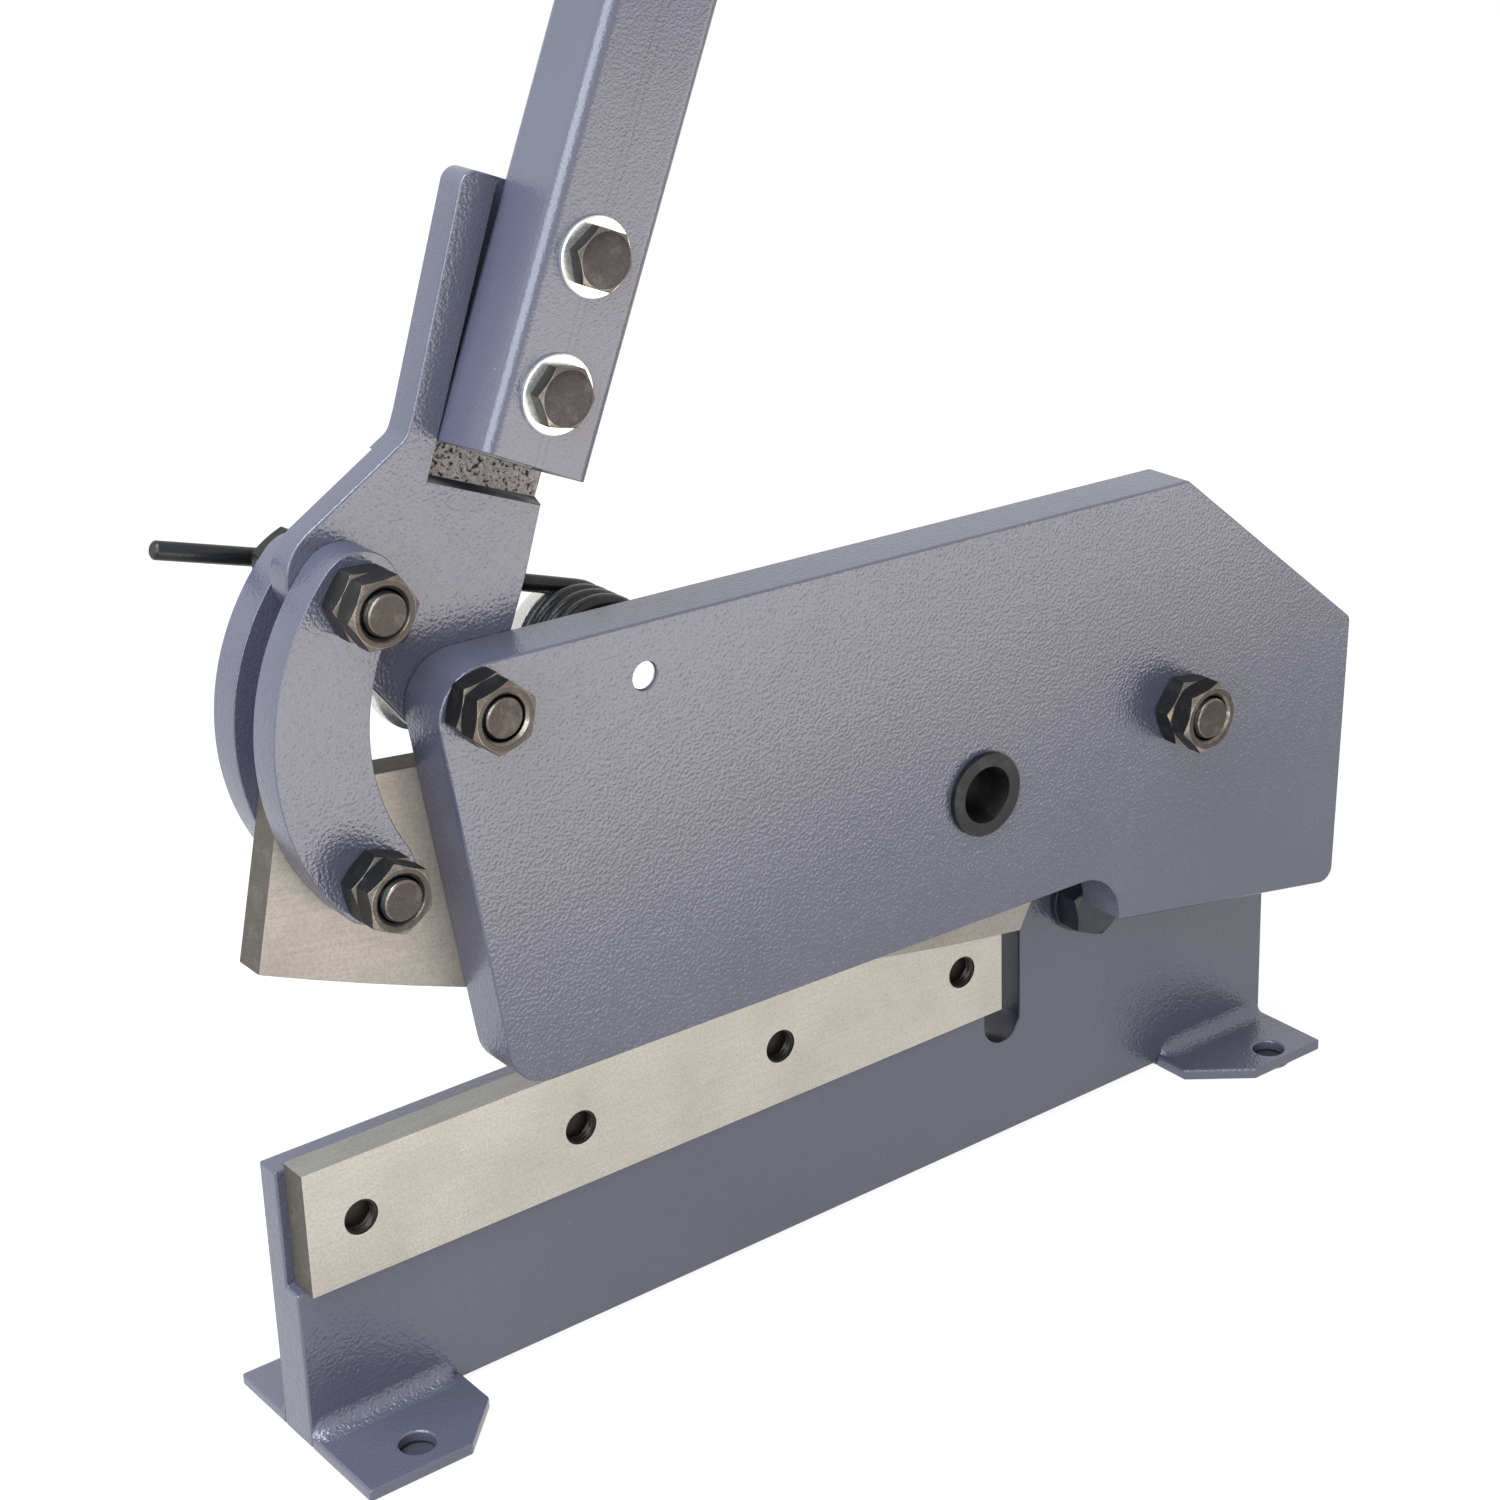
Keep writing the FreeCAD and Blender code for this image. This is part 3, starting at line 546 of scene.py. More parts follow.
class Bench:
    """Puts finished pieces on the frame."""

    rounded_from: float = 25.0
    rounded_steps: int = 3
    crease: float = 30.0
    chamfer_crease: float = 60.0
    face_weight: int = 100
    weld_reach: float = 0.002 * MM
    flat_within: float = 0.4

    @staticmethod
    def soften(piece: bpy.types.Object, width: float) -> None:
        """Rounds the sharp edges of a piece and keeps its flat faces flat.

        Args:
            piece: The object.
            width: Width of the rounding in metres, or 0 where the solid's own chamfers are the rounding.
        """
        if width > 0.0:
            edge = piece.modifiers.new("soft_edges", "BEVEL")
            edge.width = width
            edge.segments = Bench.rounded_steps
            edge.limit_method = "ANGLE"
            edge.angle_limit = math.radians(Bench.rounded_from)
            edge.use_clamp_overlap = False
        flat = piece.modifiers.new("flat_faces", "WEIGHTED_NORMAL")
        flat.weight = Bench.face_weight
        flat.keep_sharp = True

    @staticmethod
    def place(name: str, mesh: Mesh, nodes: Sequence[str], slot: Slot, materials: Sequence[Material],
              soft: float = 0.0, chamfered: bool = False) -> None:
        """Makes an object that stands for CAD nodes of one body.

        Args:
            name: The piece's name.
            mesh: Its mesh in the row frame.
            nodes: CAD nodes that it stands for.
            slot: Material slot of the record; not used.
            materials: Materials, in the order of the faces' numbers.
            soft: Width of the rounded edges in metres, or 0 for none.
            chamfered: Whether the solid's own chamfers are shaded as rounded edges.
        """
        for material in materials:
            mesh.materials.append(material)
        mesh.shade_smooth()
        piece = bpy.data.objects.new(name, mesh)
        into_scene(piece)
        if soft == 0.0:
            crease = Bench.chamfer_crease if chamfered else Bench.crease
            mesh.set_sharp_from_angle(angle=math.radians(crease))
        if soft > 0.0 or chamfered:
            Bench.soften(piece, soft)
        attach(piece, BODY_OF[nodes[0]])
        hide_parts(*nodes)
        LOG.info("made %s", name)

    @staticmethod
    def dress(name: str, node: str, slot: Slot, finish: Material, soft: float = 0.0,
              chamfered: bool = False) -> None:
        """Makes an object of one finish from a node's own solid, with the arguments of place."""
        Bench.place(name, Bench.solid(node), [node], slot, [finish], soft, chamfered)

    @staticmethod
    def solid(node: str) -> Mesh:
        """Clean copy of a node's solid, with its flat faces joined.

        Args:
            node: The CAD node.

        Returns:
            The new mesh.
        """
        mesh = bpy.data.meshes.new(node + "_surface")
        with reshaped(mesh, frame["nodes"][node].data) as shape:
            bmesh.ops.remove_doubles(shape, verts=shape.verts, dist=Bench.weld_reach)
            bmesh.ops.dissolve_limit(shape, angle_limit=math.radians(Bench.flat_within),
                                     verts=shape.verts, edges=shape.edges)
            bmesh.ops.recalc_face_normals(shape, faces=shape.faces)
            for face in shape.faces:
                face.material_index = 0
        return mesh

    @staticmethod
    def slice(mesh: Mesh, point: Point, normal: Point) -> None:
        """Adds edges where a plane meets the mesh, so that a finish can end there.

        Args:
            mesh: The mesh.
            point: A point of the plane.
            normal: The plane's normal.
        """
        with reshaped(mesh) as shape:
            bmesh.ops.bisect_plane(shape, geom=shape.verts[:] + shape.edges[:] + shape.faces[:],
                                   plane_co=point, plane_no=normal)

    @staticmethod
    def mark(mesh: Mesh, number: int, test: Callable[[Vector, Vector], bool]) -> None:
        """Gives some faces another material.

        Args:
            mesh: The mesh.
            number: Number of the material.
            test: Says from a face's centre and normal whether it is one of them.
        """
        for face in mesh.polygons:
            if test(face.center, face.normal):
                face.material_index = number

    @staticmethod
    def on_edge(normal: Vector) -> bool:
        """Whether a plate's face is on its edge, from the normal."""
        return abs(normal.y) < 0.5

    @staticmethod
    def middle(node: str) -> Pair:
        """Centre of a node across the Y axis, as x and z."""
        low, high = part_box(node)
        return (low.x + high.x) / 2.0, (low.z + high.z) / 2.0


@dataclass(frozen=True)
class Turning:
    """Round and six-sided forms about an axis along Y."""

    centre: Pair
    steps: int = 72

    def angles(self) -> list[float]:
        """Even angles round the axis."""
        return [math.tau * i / self.steps for i in range(self.steps)]

    def shaped(self, rule: Callable[[float], Pair], angles: Sequence[float]) -> list[Point]:
        """Ring whose radius and place along the axis follow a rule of the angle."""
        x, z = self.centre
        ring = []
        for angle in angles:
            radius, y = rule(angle)
            ring.append((x + radius * math.cos(angle), y, z + radius * math.sin(angle)))
        return ring

    def circle(self, radius: float, y: float) -> list[Point]:
        """Round ring of points at a place along the axis."""
        return self.shaped(lambda angle: (radius, y), self.angles())

    def thread(self, y: float, run: float, crest: float, depth: float, pitch: float,
               most: float = math.inf) -> list[Point]:
        """Ring of points across a cut thread.

        Args:
            y: Its place along the axis.
            run: Its distance from where the thread starts.
            crest: Radius of the thread's crest.
            depth: Depth of the thread.
            pitch: Pitch of the thread.
            most: Largest radius, as at a bevelled tip.

        Returns:
            The points.
        """
        def rule(angle: float) -> Pair:
            wave = abs(2.0 * ((run / pitch + angle / math.tau) % 1.0) - 1.0)
            return min(crest - depth * wave, most), y

        return self.shaped(rule, self.angles())

    def lathe(self, form: Form, profile: Sequence[Pair], closed: bool = False) -> None:
        """Turns a profile of radii and places into a solid.

        Args:
            form: The mesh in the making.
            profile: Pairs of radius and y, from end to end, or round and back where closed.
            closed: Whether the profile joins its own start, as for a ring.
        """
        form.tube([form.ring(self.circle(radius, y)) for radius, y in profile], closed)


@dataclass(frozen=True)
class HexShape:
    """Outline of a hexagon with slightly rounded corners."""

    flats: float
    turn: float
    corner: float = 0.45 * MM
    flat_steps: int = 10
    corner_steps: int = 4

    def tangent(self) -> float:
        """Angle from a flat's middle to the start of its rounded corner."""
        return math.atan((self.flats / 2.0 - self.corner) * math.tan(SIXTH / 2.0) / (self.flats / 2.0))

    def angles(self) -> list[float]:
        """Angles of the outline's points, closer together at the corners."""
        edge = self.tangent()
        local = [-edge + 2.0 * edge * i / self.flat_steps for i in range(self.flat_steps)]
        local += [edge + 2.0 * (SIXTH / 2.0 - edge) * i / self.corner_steps for i in range(self.corner_steps)]
        return [math.radians(self.turn + 60.0 * side) + a for side in range(6) for a in local]

    def radius(self, angle: float) -> float:
        """Distance from the axis to the outline at an angle."""
        local = abs((angle - math.radians(self.turn) + SIXTH / 2.0) % SIXTH - SIXTH / 2.0)
        if local <= self.tangent():
            return self.flats / 2.0 / math.cos(local)
        reach = (self.flats / 2.0 - self.corner) / math.cos(SIXTH / 2.0)
        off = SIXTH / 2.0 - local
        return reach * math.cos(off) + math.sqrt(max(0.0, self.corner ** 2 - (reach * math.sin(off)) ** 2))


@dataclass(frozen=True)
class HexPiece:
    """Nut, or bolt head where it has no bore, with turned-off corners."""

    centre: Pair
    shape: HexShape
    front: float
    back: float
    bore: float = 0.0
    turned_front: bool = True
    turned_back: bool = True
    slope: float = 0.55
    land_in: float = 0.3 * MM
    mouth: float = 1.1 * MM
    dome: float = 0.0
    dome_inner: float = 0.35
    dome_outer: float = 0.75
    dome_fall: float = 0.3

    def add(self, form: Form, side: int = 0, face: int = 1, edge: int = 2) -> None:
        """Adds the piece to a form.

        Args:
            form: The mesh in the making.
            side: Material of the six sides.
            face: Material of the front and back faces.
            edge: Material of the turned edges and the bore's mouth.
        """
        turning = Turning(self.centre)
        angles = self.shape.angles()
        land = self.shape.flats / 2.0 - self.land_in

        def ring(radius: float, y: float) -> list[int]:
            return form.ring(turning.shaped(lambda angle: (radius, y), angles))

        def rim(y: float, way: float, turned: bool) -> list[int]:
            def rule(angle: float) -> Pair:
                radius = self.shape.radius(angle)
                return radius, y + way * (max(0.0, radius - land) * self.slope if turned else 0.0)
            return form.ring(turning.shaped(rule, angles))

        halves = []
        for y, way, turned in ((self.front, 1.0, self.turned_front), (self.back, -1.0, self.turned_back)):
            flat = y
            if self.bore > 0.0:
                mouth = ring(self.bore, y + way * self.mouth)
                half = [(mouth, edge), (ring(self.bore + self.mouth, y), face)]
            else:
                flat += self.dome if way > 0.0 else 0.0
                inner = ring(land * self.dome_inner, y)
                half = [(inner, face), (ring(land * self.dome_outer, y + (flat - y) * self.dome_fall), face)]
            halves.append([*half, (ring(land, flat), edge), (rim(flat, way, turned), side)])
        path = halves[0] + halves[1][::-1]
        for i in range(len(path) - 1):
            finish = path[i][1] if i < len(halves[0]) else path[i + 1][1]
            form.skin(path[i][0], path[i + 1][0], finish)
        if self.bore > 0.0:
            form.skin(path[-1][0], path[0][0], side)
        else:
            form.cap(path[0][0], face)
            form.cap(path[-1][0], face)


@dataclass(frozen=True)
class ThreadedEnd:
    """Threaded end of a bolt with a bevelled and slightly dished tip."""

    centre: Pair
    radius: float
    tip: float
    back: float
    pitch: float = 2.0 * MM
    depth: float = 0.9 * MM
    bevel: float = 1.0 * MM
    dish: float = 0.15 * MM
    dish_rings: tuple[Pair, ...] = ((0.86, 0.25), (0.55, 0.9), (0.2, 1.0))
    way: float = 1.0
    steps: int = 48
    rows_per_turn: int = 8

    def add(self, form: Form, thread: int = 0, face: int = 1, edge: int = 2) -> None:
        """Adds the end to a form.

        Args:
            form: The mesh in the making.
            thread: Material of the thread.
            face: Material of the end face.
            edge: Material of the bevel at the tip.
        """
        turning = Turning(self.centre, self.steps)
        tip_radius = self.radius - self.bevel
        length = abs(self.back - self.tip)
        count = max(2, round(length / self.pitch * self.rows_per_turn))
        runs = [length * i / count for i in range(count + 1)]
        rows = [form.ring(turning.thread(self.tip + self.way * run, run, self.radius, self.depth, self.pitch,
                                         tip_radius + run)) for run in runs]
        for run, first, second in zip(runs, rows, rows[1:]):
            form.skin(first, second, edge if run < self.bevel / 2.0 else thread)
        form.cap(rows[-1], thread)
        inner = rows[0]
        for share, deep in self.dish_rings:
            ring = form.ring(turning.circle(tip_radius * share, self.tip + self.way * self.dish * deep))
            form.skin(inner, ring, face)
            inner = ring
        form.cap(inner, face)


@dataclass(frozen=True)
class PivotFastening:
    """Bolt of a pivot with the two thin nuts that are locked on it."""

    looks: Finishes
    name: str
    flats: float
    thread: float
    turns: Pair
    head: float
    split: float = 0.2 * MM
    nut_bore: float = 0.55 * MM
    nut_edge: float = 0.22 * MM

    def build(self) -> None:
        """Makes the nuts and the bolt."""
        self.make_nuts()
        self.make_bolt()

    def make_nuts(self) -> None:
        """Makes both nuts as one piece."""
        node = self.name + "_nuts"
        low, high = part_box(node)
        height = (high.y - low.y - self.split) / 2.0
        bore = self.thread / 2.0 + self.nut_bore
        form = Form()
        for i, turn in enumerate(self.turns):
            back = high.y - i * (height + self.split)
            HexPiece(Bench.middle(node), HexShape(self.flats, turn), back - height, back, bore).add(form)
        Bench.place(self.name + "_nut_pair", form.mesh(node), [node], Slot.BLACK,
                    self.looks.nut, self.nut_edge)

    def make_bolt(self) -> None:
        """Makes head, shank and threaded end as one piece, or only the end where the head is another node."""
        whole = self.head > 0.0
        node = self.name + ("_bolt" if whole else "_stub")
        low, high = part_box(node)
        radius = self.thread / 2.0
        form = Form()
        if whole:
            centre = Bench.middle(self.name + "_nuts")
            nut_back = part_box(self.name + "_nuts")[1].y
            seat = high.y - self.head
            ThreadedEnd(centre, radius, low.y, nut_back).add(form)
            Turning(centre).lathe(form, [(radius, nut_back), (radius, seat)])
            HexPiece(centre, HexShape(self.flats, 0.0), seat, high.y, turned_front=False).add(form)
        else:
            ThreadedEnd(Bench.middle(node), radius, low.y, high.y).add(form)
        Bench.place(self.name + ("_bolt_body" if whole else "_bolt_end"), form.mesh(node), [node], Slot.BLACK,
                    self.looks.bolt)


@dataclass(frozen=True)
class Pivots:
    """The four pivots, with the heads that show behind."""

    looks: Finishes
    small: Pair = (21.0 * MM, 14.0 * MM)
    large: Pair = (24.0 * MM, 16.0 * MM)
    head_edge: float = 0.25 * MM
    ring_edge: float = 0.3 * MM

    def build(self) -> None:
        """Makes the fastenings, the rings between the plates and the pin in the moving blade."""
        for name, (flats, thread), turns, head in (
                # Name, flats and thread, turn of each nut in degrees, height of the head
                ("lever_pivot", self.small, (42.0, 48.0), 8.8 * MM),
                ("upper_link", self.small, (25.0, 32.0), 5.0 * MM),
                ("lower_link", self.small, (12.0, 4.0), 0.0),
                ("blade_pivot", self.large, (21.0, 42.0), 10.0 * MM)):
            PivotFastening(self.looks, name, flats, thread, turns, head).build()
        Bench.dress("lower_link_bolt_head", "lower_link_bolt", Slot.BLACK, self.looks.black, self.head_edge)
        for node in ("lever_collar", "lever_washer", "blade_pivot_collar"):
            Bench.dress(node + "_ring", node, Slot.ZINC, self.looks.zinc, self.ring_edge)
        Bench.dress("lower_link_pin_bar", "lower_link_pin", Slot.GROUND, self.looks.moving)


@dataclass(frozen=True)
class Base:
    """Web, feet with their weld beads, lower blade and its screws, stop bolt and spacer."""

    looks: Finishes
    feet: tuple[tuple[str, float], ...] = (("left_front_foot", -1.0), ("left_rear_foot", 1.0),
                                           ("right_front_foot", -1.0), ("right_rear_foot", 1.0))
    plate_edge: float = 0.9 * MM
    spacer_edge: float = 0.4 * MM
    blade_edge: float = 0.25 * MM
    bead_step: float = 0.9 * MM
    bead_width: float = 6.8 * MM
    bead_height: float = 6.8 * MM
    bead_points: int = 9
    bead_end: float = 6.0 * MM
    bead_end_share: float = 0.04
    bead_gap: float = 2.0 * MM
    ripple: float = 2.4 * MM
    ripple_share: float = 0.07
    lump_share: float = 0.05
    lump_scale: Pair = (300.0, 90.0)
    slot_shade_reach: float = 16.0 * MM
    slot_shade_above: float = 4.0 * MM
    hole_radius: float = 6.2 * MM
    hole_count: int = 4
    hole_inset: float = 20.0 * MM
    thread_start: float = 0.5 * MM
    thread_in: float = 0.1 * MM
    thread_depth: float = 0.8 * MM
    thread_pitch: float = 1.75 * MM
    thread_rows: int = 16
    thread_steps: int = 40
    thread_skin: float = 0.02 * MM
    stop_flats: float = 24.0 * MM
    stop_thread: float = 16.0 * MM
    stop_turn: float = 8.0
    stop_head: float = 10.0 * MM
    stop_edge: float = 0.25 * MM
    washer_edge: float = 0.3 * MM

    def build(self) -> None:
        """Makes every piece of the base."""
        self.make_web()
        for node, _ in self.feet:
            Bench.dress(node + "_plate", node, Slot.PAINT, self.looks.paint, self.plate_edge)
        Bench.dress("spacer_block", "cheek_spacer", Slot.PAINT, self.looks.paint, self.spacer_edge)
        self.make_beads()
        self.make_lower_blade()
        self.make_screws()
        self.make_stop()

    def make_web(self) -> None:
        """Makes the web, with painted shade in dark navy on the walls of the slot at the lower blade's end.
        """
        web = Bench.solid("base_web")
        blade_end, _, blade_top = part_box("lower_blade")[1]
        limit = blade_top + self.slot_shade_above
        Bench.slice(web, (0.0, 0.0, limit), (0.0, 0.0, 1.0))
        # Walls of the slot below the blade's top take the dark navy finish as painted shade.
        Bench.mark(web, 1, lambda centre, normal: Bench.on_edge(normal)
                   and abs(centre.x - blade_end) < self.slot_shade_reach and centre.z < limit)
        looks = [self.looks.paint, self.looks.navy]
        Bench.place("web_plate", web, ["base_web"], Slot.PAINT, looks, self.plate_edge)

    def make_beads(self) -> None:
        """Makes the rippled weld beads along the feet."""
        form = Form()
        for foot, side in self.feet:
            low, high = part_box(foot)
            left, right = self.bead_span(low.x, high.x)
            self.add_bead(form, left, right, high.y if side < 0.0 else low.y, high.z, side)
        Bench.place("foot_weld_beads", form.mesh("foot_weld_beads"), ["foot_welds"], Slot.PAINT,
                    [self.looks.bead])

    def bead_span(self, left: float, right: float) -> Pair:
        """Where a bead starts and ends, inside the CAD weld's own length."""
        low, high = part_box("foot_welds")
        if left - low.x < self.bead_width:
            return low.x, right - self.bead_gap
        return left + self.bead_gap, high.x

    def add_bead(self, form: Form, left: float, right: float, root: float, top: float, side: float) -> None:
        """Adds one bead.

        Args:
            form: The mesh in the making.
            left: Its left end.
            right: Its right end.
            root: Y of the web's face.
            top: Height of the foot's upper face.
            side: -1 in front of the web and 1 behind it.
        """
        count = round((right - left) / self.bead_step)
        turns = [math.radians(90.0 * j / (self.bead_points - 1)) for j in range(self.bead_points)]
        rings = []
        for i in range(count + 1):
            x = left + (right - left) * i / count
            near = min(x - left, right - x) / self.bead_end
            taper = math.sqrt(max(0.0, 1.0 - (1.0 - min(1.0, near)) ** 2))
            taper = taper * (1.0 - self.bead_end_share) + self.bead_end_share
            size = taper * (1.0 - self.ripple_share * abs(math.sin(math.pi * x / self.ripple)))
            spot = Vector((x * self.lump_scale[0], root * self.lump_scale[1], 0.0))
            size *= 1.0 - self.lump_share * (noise.noise(spot) + 0.5)
            ring = [(x, root + side * (self.bead_width * size * (1.0 - math.sin(turn))),
                     top + self.bead_height * size * (1.0 - math.cos(turn))) for turn in turns]
            rings.append(form.ring([(x, root, top), *ring]))
        form.tube(rings)

    def make_lower_blade(self) -> None:
        """Makes the lower blade, with dark scaled ends, a darker top as painted shade, and near-black holes
        as painted shade.
        """
        mesh = Bench.solid("lower_blade")
        Bench.mark(mesh, 1, lambda centre, normal: abs(normal.x) > FACING)
        # Top and bottom faces take a darker grey as painted shade.
        Bench.mark(mesh, 3, lambda centre, normal: abs(normal.z) > FACING)
        # Walls of the holes take the near-black screw finish as painted shade.
        Bench.mark(mesh, 2, lambda centre, normal: self.in_hole(centre))
        Bench.place("lower_blade_bar", mesh, ["lower_blade"], Slot.GROUND,
                    [self.looks.blade, self.looks.scale, self.looks.oiled, self.looks.blade_top],
                    self.blade_edge)

    def hole_centres(self) -> list[Pair]:
        """Centres of the screw holes along the lower blade."""
        low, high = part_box("lower_blade")
        pitch = (high.x - low.x - 2.0 * self.hole_inset) / (self.hole_count - 1)
        return [(low.x + self.hole_inset + i * pitch, (low.z + high.z) / 2.0) for i in range(self.hole_count)]

    def in_hole(self, centre: Vector) -> bool:
        """Whether a face lies on the wall of a hole."""
        low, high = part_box("lower_blade")
        inside = low.y + MM < centre.y < high.y - MM
        return inside and any(math.dist((centre.x, centre.z), hole) < self.hole_radius + MM
                              for hole in self.hole_centres())

    def make_screws(self) -> None:
        """Makes the screws, with a cut thread in each hole in front of them, all in the black under oil that
        in the holes is painted shade.
        """
        form = Form()
        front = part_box("lower_blade")[0].y + self.thread_start
        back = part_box("lower_blade_screws")[0].y
        crest = self.hole_radius - self.thread_in
        for centre in self.hole_centres():
            turning = Turning(centre, self.thread_steps)
            runs = [(back - front) * i / self.thread_rows for i in range(self.thread_rows + 1)]
            inner = [form.ring(turning.thread(front + run, run, crest, self.thread_depth, self.thread_pitch))
                     for run in runs]
            outer = [form.ring(turning.circle(self.hole_radius - self.thread_skin, y)) for y in (front, back)]
            for first, second in zip(inner, inner[1:]):
                form.skin(first, second)
            form.skin(outer[0], inner[0])
            form.skin(inner[-1], outer[1])
            form.skin(outer[1], outer[0])
        threads = form.mesh("screw_threads")
        screws = Bench.solid("lower_blade_screws")
        with reshaped(screws, screws, threads):
            LOG.info("joined %s", threads.name)
        bpy.data.meshes.remove(threads)
        Bench.place("blade_screws_and_threads", screws, ["lower_blade_screws"], Slot.BLACK,
                    [self.looks.oiled])

    def make_stop(self) -> None:
        """Makes the stop bolt and its washer, both in dark navy; on the zinc washer in the notch this is
        painted shade.
        """
        low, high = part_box("stop_bolt")
        centre = Bench.middle("stop_bolt")
        seat = low.y + self.stop_head
        form = Form()
        HexPiece(centre, HexShape(self.stop_flats, self.stop_turn), low.y, seat,
                 turned_back=False).add(form, 0, 0, 0)
        ThreadedEnd(centre, self.stop_thread / 2.0, high.y, seat, way=-1.0).add(form, 0, 0, 0)
        Bench.place("stop_bolt_body", form.mesh("stop_bolt_body"), ["stop_bolt"], Slot.BLACK,
                    [self.looks.navy], self.stop_edge)
        # The zinc washer takes the dark navy finish as painted shade in the notch.
        Bench.dress("stop_washer", "stop_bolt_washer", Slot.ZINC, self.looks.navy, self.washer_edge)


@dataclass(frozen=True)
class Cheek:
    """Thick cheek plate with the bush for round bar and the spring's pin."""

    looks: Finishes
    bush_edge: float = 0.35 * MM
    pin_edge: float = 0.4 * MM

    def build(self) -> None:
        """Makes the cheek and what it carries."""
        Bench.dress("cheek_plate", "cheek", Slot.PAINT, self.looks.paint, chamfered=True)
        Bench.dress("bar_bush", "front_bush", Slot.BLACK, self.looks.black, self.bush_edge)
        Bench.dress("spring_pin_bar", "spring_pin", Slot.ZINC, self.looks.zinc, self.pin_edge)


@dataclass(frozen=True)
class MovingBlade:
    """Curved blade with its edges left dark, and its bush."""

    looks: Finishes
    edge: float = 0.25 * MM
    bush_edge: float = 0.3 * MM

    def build(self) -> None:
        """Makes the blade and its bush."""
        mesh = Bench.solid("moving_blade")
        Bench.mark(mesh, 1, lambda centre, normal: Bench.on_edge(normal))
        Bench.place("moving_blade_plate", mesh, ["moving_blade"], Slot.GROUND,
                    [self.looks.moving, self.looks.scale], self.edge)
        Bench.dress("blade_bush_ring", "blade_bush", Slot.BLACK, self.looks.black, self.bush_edge)


@dataclass(frozen=True)
class Lever:
    """Lever plate, its links and the pitted seat of the tube."""

    looks: Finishes
    seat_depth: float = 5.0 * MM
    seat_reach: float = 0.2 * MM
    lean: float = 67.6
    tube_corner: Point = (-161.65 * MM, 0.0, 340.2 * MM)
    bare_top: float = 3.0 * MM
    slope_tilt: Pair = (0.2, 0.97)
    slope_rise: float = 0.2

    def build(self) -> None:
        """Makes the lever plate and both links."""
        mesh = Bench.solid("lever_plate")
        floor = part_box("lever_plate")[0].y + self.seat_depth
        along = Vector((math.cos(math.radians(self.lean)), 0.0, math.sin(math.radians(self.lean))))
        top = Vector(self.tube_corner) + along * self.bare_top
        Bench.slice(mesh, tuple(top), tuple(along))
        Bench.mark(mesh, 1, lambda centre, normal: abs(centre.y - floor) < self.seat_reach
                   and normal.y < -FACING and (centre - top).dot(along) < 0.0)
        # The sloped shoulder of the seat takes the dark navy finish as painted shade.
        Bench.mark(mesh, 2, lambda centre, normal: abs(centre.y - floor + self.seat_depth / 2.0) < MM
                   and self.slope_tilt[0] < -normal.y < self.slope_tilt[1] and normal.z > self.slope_rise)
        Bench.place("lever_body", mesh, ["lever_plate"], Slot.PAINT,
                    [self.looks.paint, self.looks.pitted, self.looks.navy], chamfered=True)
        for node in ("front_link", "rear_link"):
            Bench.dress(node + "_plate", node, Slot.PAINT, self.looks.paint, chamfered=True)


@dataclass(frozen=True)
class Handle:
    """Square tube with its cap, and the two bolts that hold it."""

    looks: Finishes
    tube_edge: float = 0.3 * MM
    cap_edge: float = 0.5 * MM
    flats: float = 18.0 * MM
    turns: Pair = (16.6, 6.7)
    head: float = 5.6 * MM
    dome: float = 0.5 * MM
    hex_edge: float = 0.2 * MM
    thread: float = 12.0 * MM
    pitch: float = 1.75 * MM
    washer: float = 12.5 * MM
    washer_round: float = 0.35 * MM
    washer_play: float = 0.3 * MM
    nut: float = 10.0 * MM
    nut_bore: float = 0.4 * MM

    def build(self) -> None:
        """Makes the tube, the cap and the fasteners."""
        Bench.dress("handle_tube_body", "handle_tube", Slot.PAINT, self.looks.tube_paint, self.tube_edge)
        Bench.dress("handle_end_cap", "handle_cap", Slot.CAP, self.looks.cap, self.cap_edge)
        self.make_bolts()
        self.make_washers()
        self.make_nuts()

    def centres(self) -> list[Pair]:
        """Axes of the two bolts, low one first, from the box of the washers."""
        low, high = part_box("handle_washers")
        return [(low.x + self.washer, low.z + self.washer), (high.x - self.washer, high.z - self.washer)]

    def make_bolts(self) -> None:
        """Makes both bolts as one piece."""
        low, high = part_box("handle_bolts")
        seat = low.y + self.head
        nut_front = high.y - self.nut
        radius = self.thread / 2.0
        form = Form()
        for centre, turn in zip(self.centres(), self.turns):
            HexPiece(centre, HexShape(self.flats, turn), low.y, seat, turned_back=False,
                     dome=self.dome).add(form)
            Turning(centre).lathe(form, [(radius, seat), (radius, nut_front)])
            ThreadedEnd(centre, radius, high.y, nut_front, self.pitch, way=-1.0).add(form, 0, 1, 1)
        Bench.place("handle_bolt_bodies", form.mesh("handle_bolt_bodies"), ["handle_bolts"], Slot.BLACK,
                    self.looks.head, self.hex_edge)

    def make_washers(self) -> None:
        """Makes both washers with rounded rims."""
        low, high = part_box("handle_washers")
        inner = self.thread / 2.0 + self.washer_play
        soft = self.washer_round
        form = Form()
        for centre in self.centres():
            profile = [(inner, high.y), (self.washer, high.y), (self.washer, low.y + soft),
                       (self.washer - soft, low.y), (inner + soft, low.y), (inner, low.y + soft)]
            Turning(centre).lathe(form, profile, closed=True)
        Bench.place("handle_washer_rings", form.mesh("handle_washer_rings"), ["handle_washers"], Slot.ZINC,
                    [self.looks.zinc])

    def make_nuts(self) -> None:
        """Makes both nuts behind the lever."""
        low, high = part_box("handle_nuts")
        form = Form()
        for centre in self.centres():
            HexPiece(centre, HexShape(self.flats, 0.0), low.y, high.y, self.thread / 2.0 + self.nut_bore,
                     turned_front=False).add(form)
        Bench.place("handle_nut_bodies", form.mesh("handle_nut_bodies"), ["handle_nuts"], Slot.BLACK,
                    self.looks.nut, self.hex_edge)


